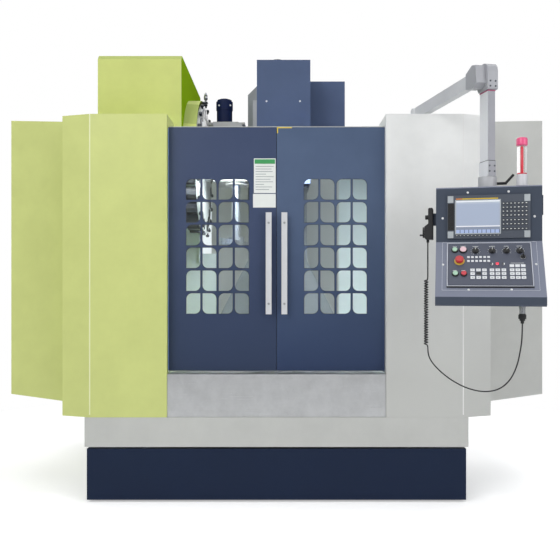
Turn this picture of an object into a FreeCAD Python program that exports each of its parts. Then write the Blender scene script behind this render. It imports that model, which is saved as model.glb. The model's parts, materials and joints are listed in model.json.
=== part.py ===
import FreeCAD, Part
import math
import os

import Sketcher

V = FreeCAD.Vector
doc = FreeCAD.newDocument("machining_center")
sheet = doc.addObject("Spreadsheet::Sheet", "Sizes")

# Driving sizes in millimetres and degrees. X runs to the right, Y to the back, Z up,
# and the origin lies on the floor under the middle of the machine.
SIZES = {
    # enclosure
    "front": -700, "cover_in": 625, "cover_fold": 1065, "wing_in": 1237, "wing_out": 1645,
    "cover_low": 485, "cover_top": 2215, "sheet": 3, "half_depth": 1536.4,
    "skirt_half": 1094, "skirt_low": 317, "skirt_back": 1250,
    "bed_half": 1082, "bed_low": 14, "bed_skirt_top": 305, "bed_back": 1236,
    "door_front": -640, "door_thick": 28, "door_wide": 650, "door_low": 744, "door_top": 2151,
    "pane_x": 158, "pane_low": 1071, "leaf_wide": 85, "leaf_high": 122,
    "leaf_pitch_x": 93.6, "leaf_pitch_z": 132, "leaf_round": 34,
    "handle_x": 45, "handle_wide": 34, "handle_low": 1072, "handle_high": 583,
    # axes
    "bed_top": 520, "rail_wide": 45, "rail_high": 40, "y_rail_x": 330, "saddle_y": 50,
    "saddle_half": 810, "saddle_deep": 440, "saddle_low": 575, "saddle_top": 700,
    "table_half": 620, "table_deep": 560, "table_low": 755, "table_top": 860,
    "column_front": 700, "column_back": 1180, "column_half": 227, "column_top": 2758,
    "z_rail_x": 165, "spindle_y": 50, "nose_z": 1560, "nose_radius": 70,
    # tool magazine
    "hood_left": -1109, "hood_right": -591, "hood_front": -350, "hood_back": 694,
    "hood_low": 1400, "hood_top": 2665, "disc_x": -497, "disc_y": 150, "disc_z": 2020,
    "disc_radius": 440, "pot_ring": 385, "pot_radius": 43, "pot_count": 24, "guard_radius": 470,
    "arm_x": -280, "arm_y": 100, "arm_z": 1500, "arm_reach": 284, "arm_rest": 79.9,
    # swing arm and control box
    "post_x": 1051, "post_y": -1210, "arm_turn": 11.5, "arm_long": 770, "arm_side": -56,
    "arm_wide": 38, "arm_high": 66, "arm_mid": 2266, "elbow_top": 2337, "elbow_low": 2203,
    "box_turn": 13.95, "box_half": 247, "box_face": -92, "box_back": 105, "box_top": 1722,
    "box_bend": 1454, "lip_front": -275, "lip_top": 1190, "box_low": 1147,
    # curly cord
    "cord_radius": 3.2, "curl_radius": 8.4, "curl_count": 26, "curl_top": 1290, "curl_low": 929,
    "cord_u": -297, "cord_v": -38, "gland_u": 151.5, "gland_v": -150, "plate_thick": 8,
}


class Size:
    """A size that carries both its number and the sheet formula that gives it."""

    def __init__(self, value, text):
        self.value = float(value)
        self.text = text

    def __add__(self, other):
        other = as_size(other)
        return Size(self.value + other.value, f"({self.text} + {other.text})")

    def __sub__(self, other):
        other = as_size(other)
        return Size(self.value - other.value, f"({self.text} - {other.text})")

    def __mul__(self, other):
        other = as_size(other)
        return Size(self.value * other.value, f"({self.text} * {other.text})")

    def __truediv__(self, other):
        other = as_size(other)
        return Size(self.value / other.value, f"({self.text} / {other.text})")

    def __neg__(self):
        return Size(-self.value, f"(0 - {self.text})")

    def __rsub__(self, other):
        return as_size(other) - self

    __radd__ = __add__
    __rmul__ = __mul__


def as_size(value):
    """A plain number as a Size; a Size as it is."""
    return value if isinstance(value, Size) else Size(value, f"({value})")


class Sheet:
    """The driving sizes by name."""


s = Sheet()
for row, (name, number) in enumerate(SIZES.items(), start=1):
    sheet.set(f"A{row}", name)
    sheet.set(f"B{row}", str(number))
    sheet.setAlias(f"B{row}", name)
    setattr(s, name, Size(number, f"Sizes.{name}"))
doc.recompute()

pieces = []


def keep(obj, name):
    """Gives a finished sub-part its name, which an object it was made from may hold."""
    for other in doc.Objects:
        if other is not obj and other.Label == name:
            other.Label = f"{name} blank"
    obj.Label = name
    pieces.append(obj)
    return obj


def bind(obj, path, size):
    """Binds one property of an object to the sheet."""
    obj.setExpression(path, as_size(size).text)


def place(obj, x=0, y=0, z=0):
    """Places an object at sheet sizes."""
    for path, size in (("x", x), ("y", y), ("z", z)):
        bind(obj, f"Placement.Base.{path}", size)
    return obj


def box(x0, x1, y0, y1, z0, z1, name="block"):
    """A block between two values on each axis."""
    obj = doc.addObject("Part::Box", name)
    bind(obj, "Length", as_size(x1) - x0)
    bind(obj, "Width", as_size(y1) - y0)
    bind(obj, "Height", as_size(z1) - z0)
    return place(obj, x0, y0, z0)


TURNS = {"z": FreeCAD.Rotation(), "x": FreeCAD.Rotation(V(0, 1, 0), 90),
         "y": FreeCAD.Rotation(V(1, 0, 0), -90)}


def rod(radius, length, x, y, z, axis="z", name="rod"):
    """A cylinder that starts at a point and runs along an axis."""
    obj = doc.addObject("Part::Cylinder", name)
    bind(obj, "Radius", radius)
    bind(obj, "Height", length)
    obj.Placement = FreeCAD.Placement(V(), TURNS[axis])
    return place(obj, x, y, z)


def polygon_rod(sides, radius, length, x, y, z, axis="x", turn=0):
    """A many-sided rod, as moulded tool pots and small shanks have."""
    obj = doc.addObject("Part::Prism", "facets")
    obj.Polygon = sides
    bind(obj, "Circumradius", radius)
    bind(obj, "Height", length)
    obj.Placement = FreeCAD.Placement(V(), TURNS[axis] * FreeCAD.Rotation(V(0, 0, 1), turn))
    return place(obj, x, y, z)


def fuse(parts, name="joined"):
    """One solid of several that meet, or a group of separate solids."""
    obj = doc.addObject("Part::MultiFuse", name)
    obj.Shapes = parts
    obj.Refine = True
    return obj


def cut(base, tools, name="cut_piece"):
    """A solid less one or more tools."""
    tool = tools if not isinstance(tools, list) else (fuse(tools) if len(tools) > 1 else tools[0])
    obj = doc.addObject("Part::Cut", name)
    obj.Base = base
    obj.Tool = tool
    obj.Refine = True
    return obj


def round_edges(base, radius, chosen, name="rounded"):
    """Rounds the edges of a solid that the test picks."""
    doc.recompute()
    obj = doc.addObject("Part::Fillet", name)
    obj.Base = base
    obj.Edges = [(i, radius, radius) for i, e in enumerate(base.Shape.Edges, start=1) if chosen(e)]
    return obj


def upright(edge):
    """True for a straight edge that runs along Z."""
    ends = [v.Point for v in edge.Vertexes]
    return len(ends) == 2 and abs((ends[1] - ends[0]).normalize().z) > 0.999


def body(name):
    """An empty body for a piece that is made feature by feature."""
    return doc.addObject("PartDesign::Body", name)


def new_sketch(owner, role, offset=0):
    """A sketch on one of the body's own planes, moved along that plane's normal."""
    sketch = owner.newObject("Sketcher::SketchObject", "outline")
    sketch.AttachmentSupport = [(p, "") for p in owner.Origin.OriginFeatures if p.Role == role]
    sketch.MapMode = "FlatFace"
    bind(sketch, "AttachmentOffset.Base.z", offset)
    return sketch


def pin_point(sketch, item, point, x, y):
    """Holds a sketch point at sheet sizes."""
    for kind, size in (("DistanceX", as_size(x)), ("DistanceY", as_size(y))):
        number = sketch.addConstraint(
            Sketcher.Constraint(kind, -1, 1, item, point, size.value))
        sketch.setExpression(f"Constraints[{number}]", size.text)


def polygon(sketch, corners):
    """A closed outline of straight lines through corners at sheet sizes."""
    first = sketch.GeometryCount
    points = [V(as_size(x).value, as_size(y).value, 0) for x, y in corners]
    count = len(points)
    for i in range(count):
        sketch.addGeometry(Part.LineSegment(points[i], points[(i + 1) % count]), False)
    for i in range(count):
        after = first + (i + 1) % count
        sketch.addConstraint(Sketcher.Constraint("Coincident", first + i, 2, after, 1))
    for i, (x, y) in enumerate(corners):
        pin_point(sketch, first + i, 1, x, y)


def circle(sketch, x, y, radius):
    """A circle at sheet sizes."""
    centre = V(as_size(x).value, as_size(y).value, 0)
    item = sketch.addGeometry(Part.Circle(centre, V(0, 0, 1), as_size(radius).value), False)
    pin_point(sketch, item, 3, x, y)
    number = sketch.addConstraint(Sketcher.Constraint("Radius", item, as_size(radius).value))
    sketch.setExpression(f"Constraints[{number}]", as_size(radius).text)


# which way each plane's normal runs along its world axis
NORMAL = {"XY_Plane": 1, "XZ_Plane": -1, "YZ_Plane": 1}


def feature(owner, kind, role, start, end, draw):
    """A pad or pocket between two places on the plane's world axis."""
    start, end = as_size(start), as_size(end)
    offset = start if NORMAL[role] > 0 else -end
    sketch = new_sketch(owner, role, offset)
    draw(sketch)
    made = owner.newObject(f"PartDesign::{kind}", kind.lower())
    made.Profile = sketch
    made.Reversed = kind == "Pocket"
    bind(made, "Length", end - start)
    return made


def prism(name, role, corners, start, end):
    """A body padded from one straight outline."""
    owner = body(name)
    feature(owner, "Pad", role, start, end, lambda sk: polygon(sk, corners))
    return owner


def carve(owner, role, corners, start, end):
    """Cuts a straight outline out of a body."""
    return feature(owner, "Pocket", role, start, end, lambda sk: polygon(sk, corners))


def drill(owner, role, centres, radius, start, end):
    """Cuts round holes out of a body."""
    def draw(sketch):
        for x, y in centres:
            circle(sketch, x, y, radius)
    return feature(owner, "Pocket", role, start, end, draw)


def oblong(x0, x1, y0, y1):
    """The corners of an upright rectangle."""
    return [(x0, y0), (x1, y0), (x1, y1), (x0, y1)]


# ---------------------------------------------------------------- base and enclosure


def guide_rail(x, y, z, length, axis):
    """A profiled linear rail: waisted bar on a flat foot."""
    wide, high = s.rail_wide, s.rail_high
    waist = [(-wide / 2, 0), (wide / 2, 0), (wide / 2, high * 0.4), (wide / 2 - 6, high * 0.55),
             (wide / 2 - 6, high * 0.7), (wide / 2, high * 0.82), (wide / 2, high),
             (-wide / 2, high), (-wide / 2, high * 0.82), (6 - wide / 2, high * 0.7),
             (6 - wide / 2, high * 0.55), (-wide / 2, high * 0.4)]
    if axis == "y":
        return prism("rail", "XZ_Plane", [(x + a, z + b) for a, b in waist], y, y + length)
    if axis == "x":
        return prism("rail", "YZ_Plane", [(y + a, z + b) for a, b in waist], x, x + length)
    return prism("rail", "XY_Plane", [(x + a, y - b) for a, b in waist], z, z + length)


def machine_bed():
    """Cast bed on eight levelling pads: broad plinth, raised bed with the Y rails, column seat."""
    owner = prism("machine_bed", "XY_Plane", oblong(-s.bed_half, s.bed_half, s.front + 4, s.bed_back),
                  s.bed_low, s.bed_skirt_top)
    way = s.y_rail_x + 90
    feature(owner, "Pad", "XY_Plane", s.bed_skirt_top, s.bed_top,
            lambda sk: polygon(sk, oblong(-way, way, s.front + 130, s.column_front - 8)))
    seat = 470
    feature(owner, "Pad", "XY_Plane", s.bed_skirt_top, s.saddle_top,
            lambda sk: polygon(sk, oblong(-seat, seat, s.column_front - 8, s.bed_back)))
    carve(owner, "XZ_Plane", oblong(-82, 82, s.bed_top - 50, s.bed_top + 110),
          s.column_front - 110, s.column_front + 130)
    bearing = cut(box(-40, 40, -520, -480, s.bed_top, 590), [rod(14.3, 60, 0, -530, s.bed_top + 32, "y")])
    plate = cut(box(-70, 70, 580, 600, s.bed_top, 617), [rod(22, 40, 0, 570, s.bed_top + 32, "y")])
    feet = [bearing, plate]
    for side in (-1, 1):
        for along in (0.04, 0.36, 0.68, 0.96):
            x, y = side * (s.bed_half - 30), s.front + (s.bed_back - s.front) * along
            feet += [polygon_rod(12, 29, 14, x, y, 0, "z"), polygon_rod(12, 22, s.bed_low + 1, x, y, 0, "z")]
    length = 1010
    rails = [guide_rail(side * s.y_rail_x, s.saddle_y - length / 2, s.bed_top, length, "y")
             for side in (-1, 1)]
    keep(fuse([owner] + feet + rails), "machine_bed")


def lower_skirt():
    """Folded grey band round the machine above the bed, with a flange turned in on top."""
    half, low, high, thick = s.skirt_half, s.skirt_low, s.cover_low, s.sheet
    owner = prism("lower_skirt", "XY_Plane", oblong(-half, half, s.front - 2, s.skirt_back), low, high)
    carve(owner, "XY_Plane", oblong(thick - half, half - thick, s.front - 2 + thick,
                                    s.skirt_back - thick), low, high - thick)
    carve(owner, "XY_Plane", oblong(60 - half, half - 60, s.front + 60, s.skirt_back - 60),
          high - thick, high)
    carve(owner, "XY_Plane", oblong(-471, 471, s.column_front, s.skirt_back - thick), high - thick, high)
    keep(owner, "lower_skirt")


def front_apron():
    """Brushed stainless sheet under the doors, folded back at the top as the door sill."""
    y, thick, back = s.front + 8, s.sheet, s.front + 150
    profile = [(y, s.cover_low), (y + thick, s.cover_low), (y + thick, s.door_low - 14 - thick),
               (back, s.door_low - 14 - thick), (back, s.cover_low + 60), (back + thick, s.cover_low + 60),
               (back + thick, s.door_low - 14), (y, s.door_low - 14)]
    keep(prism("front_apron", "YZ_Plane", profile, 1 - s.cover_in, s.cover_in - 1), "front_apron")


def front_cover(side, name):
    """Front corner cover: face, inner return, angled wing and deep top box in one folded sheet."""
    y, thick = s.front, s.sheet
    deep, wing_y, end_y = s.front + 280, s.front + 55, s.front + 245
    low, high = s.cover_low, s.cover_top

    def at(x):
        return x * side

    plan = [(at(s.cover_in), deep), (at(s.cover_in), y), (at(s.cover_fold), y),
            (at(s.wing_in), wing_y), (at(s.wing_in), end_y), (at(s.wing_in - thick), end_y),
            (at(s.wing_in - thick), wing_y + 2), (at(s.cover_fold), y + thick),
            (at(s.cover_in + thick), y + thick), (at(s.cover_in + thick), deep)]
    owner = prism(name, "XY_Plane", plan, low, high)
    top = [(at(s.cover_in), deep), (at(s.cover_in), y), (at(s.cover_fold), y),
           (at(s.wing_in), wing_y), (at(s.wing_in), deep)]
    feature(owner, "Pad", "XY_Plane", high - thick, high, lambda sk: polygon(sk, top))
    slot = oblong(at(s.cover_in - 5), at(s.cover_in + 20), s.door_front - 8, deep + 5)
    carve(owner, "XY_Plane", slot, low, s.door_top + 12)
    keep(owner, name)


def side_cover(side, name):
    """Outer wing: a shallow box of folded sheet whose floor and roof slope, open to the inside."""
    thick = s.sheet
    y_in, y_out, y_back = s.front + 242, s.front + 350, s.column_front + 60

    def at(x):
        return x * side

    plan = [(at(s.wing_in), y_in), (at(s.wing_out), y_out), (at(s.wing_out), y_back),
            (at(s.wing_in), y_back)]
    shell = prism("wing_outside", "XY_Plane", plan, 520, 2262)
    room = prism("wing_inside", "XY_Plane",
                 [(at(s.wing_in - 9), y_in + thick), (at(s.wing_out - thick), y_out + thick),
                  (at(s.wing_out - thick), y_back - thick), (at(s.wing_in - 9), y_back - thick)],
                 480, 2300)

    def between(low, high, label):
        corners = [(at(s.wing_in - 20), low), (at(s.wing_out + 20), low + 36),
                   (at(s.wing_out + 20), high + 34), (at(s.wing_in - 20), high)]
        return prism(label, "XZ_Plane", corners, y_in - 20, y_back + 20)

    def common(first, second):
        made = doc.addObject("Part::Common", "clipped")
        made.Base = first
        made.Tool = second
        return made

    outside = common(shell, between(as_size(528), as_size(2222), "wing_slopes"))
    inside = common(room, between(528 + thick, 2222 - thick, "room_slopes"))
    keep(cut(outside, inside), name)


def leaf(sketch, x, z, side):
    """A window cell with two opposite corners rounded: leaf-shaped."""
    wide, high, r = s.leaf_wide.value, s.leaf_high.value, s.leaf_round.value
    first = sketch.GeometryCount
    x0, z0 = x.value, z.value
    x1, z1 = x0 + wide, z0 + high
    line, point = Part.LineSegment, lambda a, b: V(a, b, 0)

    def arc(cx, cz, start):
        full = Part.Circle(point(cx, cz), V(0, 0, 1), r)
        return Part.ArcOfCircle(full, math.radians(start), math.radians(start + 90))

    if side > 0:   # top left and bottom right are round
        items = [line(point(x0, z0), point(x1 - r, z0)), arc(x1 - r, z0 + r, 270),
                 line(point(x1, z0 + r), point(x1, z1)), line(point(x1, z1), point(x0 + r, z1)),
                 arc(x0 + r, z1 - r, 90), line(point(x0, z1 - r), point(x0, z0))]
    else:          # top right and bottom left are round
        items = [line(point(x0 + r, z0), point(x1, z0)), line(point(x1, z0), point(x1, z1 - r)),
                 arc(x1 - r, z1 - r, 0), line(point(x1 - r, z1), point(x0, z1)),
                 line(point(x0, z1), point(x0, z0 + r)), arc(x0 + r, z0 + r, 180)]
    for item in items:
        sketch.addGeometry(item, False)
    for i, item in enumerate(items):
        after = (i + 1) % len(items)
        if isinstance(item, Part.ArcOfCircle):
            number = sketch.addConstraint(Sketcher.Constraint("Radius", first + i, r))
            sketch.setExpression(f"Constraints[{number}]", s.leaf_round.text)
        else:
            level = abs(item.StartPoint.y - item.EndPoint.y) < 1e-6
            sketch.addConstraint(Sketcher.Constraint("Horizontal" if level else "Vertical", first + i))
        smooth = isinstance(item, Part.ArcOfCircle) or isinstance(items[after], Part.ArcOfCircle)
        kind = "Tangent" if smooth else "Coincident"
        sketch.addConstraint(Sketcher.Constraint(kind, first + i, 2, first + after, 1))
        if not smooth:
            spot = items[after].StartPoint
            pin_point(sketch, first + after, 1, x + (s.leaf_wide if spot.x > x0 + 1 else 0),
                      z + (s.leaf_high if spot.y > z0 + 1 else 0))


def sliding_door(side, name):
    """Navy door: a folded pan with 24 leaf-shaped windows, and four bored hangers on its back."""
    thick, y = 2.5, s.door_front
    x0, x1 = (as_size(1.5), s.door_wide) if side > 0 else (-s.door_wide, as_size(-1.5))
    owner = prism(name, "XY_Plane", oblong(x0, x1, y, y + s.door_thick), s.door_low, s.door_top)
    carve(owner, "XZ_Plane", oblong(x0 + thick, x1 - thick, s.door_low + thick, s.door_top - thick),
          y + thick, y + s.door_thick)
    start = s.pane_x if side > 0 else -s.pane_x - s.leaf_pitch_x * 3 - s.leaf_wide

    def pair(sketch):
        leaf(sketch, start, s.pane_low, 1)
        leaf(sketch, start + s.leaf_pitch_x, s.pane_low, -1)

    punched = feature(owner, "Pocket", "XZ_Plane", y - 1, y + thick + 1, pair)
    grid = owner.newObject("PartDesign::MultiTransform", "grid")
    grid.Originals = [punched]
    along = owner.newObject("PartDesign::LinearPattern", "pairs")
    up = owner.newObject("PartDesign::LinearPattern", "rows")
    x_axis, z_axis = [next(p for p in owner.Origin.OriginFeatures if p.Role == role)
                      for role in ("X_Axis", "Z_Axis")]
    for pattern, axis, count, pitch in ((along, x_axis, 2, s.leaf_pitch_x * 2),
                                        (up, z_axis, 6, s.leaf_pitch_z)):
        pattern.Direction = (axis, [""])
        pattern.Occurrences = count
        bind(pattern, "Length", pitch * (count - 1))
    grid.Transformations = [along, up]
    owner.Tip = grid
    blocks = []
    for x in (side * 110, side * 560):
        for z in (s.door_top - 23, s.door_low + 24):
            block = box(x - 40, x + 40, y + thick, y + s.door_thick + 40, z - 17, z + 17)
            blocks.append(cut(block, rod(9.05, 90, x - 45, y + 52, z, "x")))
    keep(fuse([owner] + blocks), name)
    return start


def window_pane(start, name):
    """Laminated glass behind the leaf grid."""
    y = s.door_front + 2.8
    wide = s.leaf_pitch_x * 3 + s.leaf_wide
    high = s.leaf_pitch_z * 5 + s.leaf_high
    keep(prism(name, "XY_Plane", oblong(start - 22, start + wide + 22, y, y + 8),
               s.pane_low - 22, s.pane_low + high + 22), name)


def door_handle(side, name):
    """Flat aluminium bar on two stand-offs."""
    x, wide, y = side * s.handle_x, s.handle_wide, s.door_front
    low, high = s.handle_low, s.handle_low + s.handle_high
    bar = box(x - wide / 2, x + wide / 2, y - 50, y - 36, low, high)
    posts = [rod(10, 36.5, x, y - 36.5, z, "y") for z in (low + 60, high - 60)]
    keep(round_edges(fuse([bar] + posts), 5, upright), name)


def door_header():
    """Folded beam across the doorway, and the two track rods with their middle and end blocks."""
    y, half = s.door_front + 74, s.cover_in - 2
    low, high, thick = s.door_top - 61, s.door_top + 6, 4
    profile = [(y - 70, high - thick), (y, high - thick), (y, low), (y + 46, low),
               (y + 46, low + thick), (y + thick, low + thick), (y + thick, high), (y - 70, high)]
    beam = prism("beam", "YZ_Plane", profile, -half, half)
    y, half = s.door_front + 52, s.wing_in - 12
    low, high = s.door_low + 24, s.door_top - 23
    parts = [rod(9, half * 2, -half, y, z, "x") for z in (low, high)]
    for z in (low, high):
        parts += [box(x - 6, x + 6, y - 12, y + 12, z - 12, z + 12) for x in (6 - half, half - 6)]
    parts.append(box(-4, 4, y, y + 22, high - 12, high + 12))
    parts.append(box(-4, 4, y - 9, y + 9, s.door_low - 14, low))
    keep(fuse([beam] + parts), "door_header")


def rear_panels():
    """Pale inner panels behind the working space, either side of the column."""
    y, thick, made = s.column_front - 6, s.sheet, []
    for side, name, top in ((-1, "rear_panel_left", 1470), (1, "rear_panel_right", 2200)):
        x0, x1 = sorted((side * (s.column_half + 244), side * (s.wing_in - 3)), key=lambda v: v.value)
        owner = prism(name, "XY_Plane", oblong(x0, x1, y, y + thick), s.cover_low + 4, top)
        feature(owner, "Pad", "XY_Plane", top - thick, top,
                lambda sk: polygon(sk, oblong(x0, x1, y, y + 45)))
        made.append(owner)
    return made


def chip_floor(side, name):
    """Sloping stainless floor that sheds chips towards the bed."""
    thick = s.sheet
    inner, outer = side * (s.y_rail_x + 96), side * (s.wing_in - 3)
    low, high = s.cover_low + 6, s.cover_low + 90
    profile = [(inner, low), (outer, high), (outer, high + thick), (inner, low + thick)]
    return prism(name, "XZ_Plane", profile, s.front + 154 + thick, s.column_front - 8)


def roof_panel():
    """Pale roof sheet over the right of the working space."""
    owner = prism("roof_panel", "XY_Plane",
                  oblong(520, s.wing_in - 6, s.front + 284, s.column_front - 10), 2203, 2206)
    feature(owner, "Pad", "XY_Plane", 2170, 2203,
            lambda sk: polygon(sk, oblong(520, 523, s.front + 284, s.column_front - 10)))
    return owner


machine_bed()
lower_skirt()
front_apron()
front_cover(-1, "front_cover_left")
front_cover(1, "front_cover_right")
side_cover(-1, "side_cover_left")
side_cover(1, "side_cover_right")
for hand, word in ((-1, "left"), (1, "right")):
    pane_start = sliding_door(hand, f"door_{word}")
    window_pane(pane_start, f"window_pane_{word}")
    door_handle(hand, f"door_handle_{word}")
door_header()
keep(fuse(rear_panels() + [chip_floor(-1, "chip_floor_left"), chip_floor(1, "chip_floor_right"),
                            roof_panel()]), "inner_panels")

# ---------------------------------------------------------------- axes, column and head


def axis_drive(x, y, z, length, axis):
    """Ball screw with plain journals, and at its far end a flanged servo motor with its end bell."""
    def at(step):
        return {"x": (x + step, y, z), "y": (x, y + step, z), "z": (x, y, z + step)}[axis]

    def block(start, end, reach):
        x1, y1, z1 = at(start)
        x2, y2, z2 = at(end)
        wide = {"x": (0, reach, reach), "y": (reach, 0, reach), "z": (reach, reach, 0)}[axis]
        return box(x1 - wide[0], x2 + wide[0], y1 - wide[1], y2 + wide[1], z1 - wide[2], z2 + wide[2])

    return fuse([rod(14, length, *at(0), axis), rod(20, length - 120, *at(60), axis),
                 block(length, length + 20, 65), block(length + 20, length + 125, 57),
                 polygon_rod(16, 48, 165, *at(length), axis)])


def saddle_blocks(centres, low, high, wide, along):
    """Carriage blocks that ride on rails."""
    if along == "y":
        return [box(x - wide, x + wide, y - 60, y + 60, low, high) for x, y in centres]
    return [box(x - 60, x + 60, y - wide, y + wide, low, high) for x, y in centres]


def saddle():
    """Cast saddle on four carriage blocks: a long beam with a screw channel and the X rails."""
    y, half, deep = s.saddle_y, s.saddle_half, s.saddle_deep
    profile = [(-half, s.saddle_top), (-half, s.saddle_top - 55), (-half * 0.62, s.saddle_low + 12),
               (half * 0.62, s.saddle_low + 12), (half, s.saddle_top - 55), (half, s.saddle_top)]
    beam = prism("saddle_beam", "XZ_Plane", profile, y - deep / 2, y + deep / 2)
    carve(beam, "XZ_Plane", oblong(-half - 5, half + 5, s.saddle_top - 48, s.saddle_top + 1),
          y - 62, y + 62)
    places = [(side * s.y_rail_x, y + end) for side in (-1, 1) for end in (-155, 155)]
    blocks = saddle_blocks(places, s.bed_top + 6, s.saddle_low + 14, 50, "y")
    nut = box(-55, 55, y - 70, y + 70, s.bed_top + 3, s.saddle_low + 14)
    solid = fuse([beam] + blocks + [nut])
    grooves = [box(side * s.y_rail_x - s.rail_wide / 2 - 0.6, side * s.y_rail_x + s.rail_wide / 2 + 0.6,
                   y - 300, y + 300, s.bed_top - 1, s.bed_top + s.rail_high + 0.6) for side in (-1, 1)]
    bore = rod(21, 400, 0, y - 200, s.bed_top + 32, "y")
    rails = [guide_rail(-half + 6, y + end, s.saddle_top, half * 2 - 12, "x") for end in (-150, 150)]
    low = s.saddle_top - 48
    bearing = cut(box(-half, 40 - half, y - 40, y + 40, low, s.saddle_top),
                  [rod(14.3, 60, -half - 10, y, s.saddle_top - 16, "x")])
    keep(fuse([cut(solid, grooves + [bore]), bearing] + rails), "saddle")


def table():
    """Table on four carriage blocks; the lands between its three T-slots are solids of their own."""
    half, deep, y = s.table_half, s.table_deep, s.saddle_y
    low, high = s.table_low, s.table_top
    y0, y1 = y - deep / 2, y + deep / 2
    floor = high - 32
    profile = [(y0, floor), (y0, low + 45), (y0 + 60, low), (y1 - 60, low), (y1, low + 45), (y1, floor)]
    slab = prism("table_slab", "YZ_Plane", profile, -half, half)
    lands = []
    slots = [y - 125, y, y + 125]
    for start, end in zip([y0] + slots, slots + [y1]):
        left, right = (0, 0) if start is y0 else (9, 16), (0, 0) if end is y1 else (9, 16)
        lands.append(fuse([box(-half, half, start + left[0], end - right[0], high - 18, high),
                           box(-half, half, start + left[1], end - right[1], floor, high - 18)]))
    places = [(side * 140, y + end) for side in (-1, 1) for end in (-150, 150)]
    blocks = saddle_blocks(places, s.saddle_top + 6, low + 1, 50, "x")
    solid = fuse([slab] + blocks + [box(-70, 70, y - 45, y + 45, s.saddle_top - 42, low + 1)])
    grooves = [box(-300, 300, y + end - s.rail_wide / 2 - 0.6, y + end + s.rail_wide / 2 + 0.6,
                   s.saddle_top - 1, s.saddle_top + s.rail_high + 0.6) for end in (-150, 150)]
    bore = rod(21, 400, -200, y, s.saddle_top - 16, "x")
    group = doc.addObject("Part::Compound", "table_group")
    group.Links = [cut(solid, grooves + [bore])] + lands
    keep(group, "table")


def column():
    """Cast column: wide foot, chamfered head, ribbed hollow back, Z rails and motor shelf."""
    foot, neck, low, top = 440, s.column_half, s.saddle_top, s.column_top
    profile = [(-foot, low), (foot, low), (foot, low + 300), (neck, low + 720), (neck, top - 68),
               (neck - 68, top), (68 - neck, top), (-neck, top - 68), (-neck, low + 720),
               (-foot, low + 300)]
    owner = prism("column", "XZ_Plane", profile, s.column_front, s.column_back)
    wall, rib = 34, 26
    back = s.column_back + 1
    for step in range(3):
        z0 = low + 760 + 400 * step
        carve(owner, "XZ_Plane", oblong(wall - neck, neck - wall, z0, z0 + 400 - rib),
              s.column_front + wall, back)
    carve(owner, "XZ_Plane", [(wall - foot, low + 60), (foot - wall, low + 60),
                              (foot - wall, low + 285), (neck - wall + 4, low + 720),
                              (wall - neck - 4, low + 720), (wall - foot, low + 285)],
          s.column_front + wall, back)
    rails = [guide_rail(side * s.z_rail_x, s.column_front, s.nose_z - 420, 1500, "z")
             for side in (-1, 1)]
    shelf = cut(box(-90, 90, s.column_front - 96, s.column_front + 120, top, top + 20),
                rod(22, 40, 0, s.column_front - 26, top - 10))
    low = s.nose_z - 470
    bearing = cut(box(-40, 40, s.column_front - 60, s.column_front, low, low + 40),
                  [rod(14.3, 60, 0, s.column_front - 26, low - 10)])
    keep(fuse([owner, shelf, bearing] + rails), "column")


def head():
    """Cast spindle head: nose barrel, carriage blocks behind, ribbed spindle motor on top."""
    y, nose = s.spindle_y, s.nose_z
    back = s.column_front - s.rail_high - 14
    profile = [(y - 118, nose + 250), (y - 118, nose + 640), (y + 150, nose + 640), (y + 300, nose + 860),
               (back, nose + 860), (back, nose + 180), (y + 150, nose + 250)]
    solid = prism("head_body", "YZ_Plane", profile, -118, 118)
    barrel = rod(112, 160, 0, y, nose + 100)
    places = [(side * s.z_rail_x, z) for side in (-1, 1) for z in (nose + 300, nose + 740)]
    blocks = [box(x - 50, x + 50, back - 14, s.column_front - 6, z - 60, z + 60) for x, z in places]
    web = box(-s.z_rail_x - 50, s.z_rail_x + 50, back - 30, back, nose + 180, nose + 860)
    nut = box(-45, 45, back - 1, s.column_front - 4, nose + 480, nose + 560)
    solid = fuse([solid, barrel, web, nut] + blocks)
    grooves = [box(side * s.z_rail_x - s.rail_wide / 2 - 0.6, side * s.z_rail_x + s.rail_wide / 2 + 0.6,
                   s.column_front - s.rail_high - 0.6, s.column_front + 1, nose, nose + 900)
               for side in (-1, 1)]
    bores = [rod(s.nose_radius + 0.05, 720, 0, y, nose),
             rod(21, 900, 0, s.column_front - 26, nose + 100)]
    low = nose + 640
    motor = [box(-105, 105, y - 105, y + 105, low, low + 30), rod(88, 310, 0, y, low + 20),
             rod(94, 90, 0, y, low + 310)]
    motor += [box(-96, 96, y - 96, y + 96, low + 50 + 50 * i, low + 74 + 50 * i) for i in range(5)]
    keep(fuse([cut(solid, grooves + bores)] + motor), "head_casting")


def spindle():
    """Turned spindle with its flange face and tapered tool socket."""
    y, nose, radius = s.spindle_y, s.nose_z, s.nose_radius
    owner = body("spindle")
    sketch = new_sketch(owner, "XZ_Plane", -y)
    polygon(sketch, [(as_size(34.9), nose), (radius + 22, nose), (radius + 22, nose + 28),
                     (radius, nose + 28), (radius, nose + 600), (as_size(12), nose + 600),
                     (as_size(12), nose + 110), (as_size(18.6), nose + 110)])
    turned = owner.newObject("PartDesign::Revolution", "turned")
    turned.Profile = sketch
    turned.ReferenceAxis = (sketch, ["V_Axis"])
    turned.Angle = 360
    keep(owner, "spindle")


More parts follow.
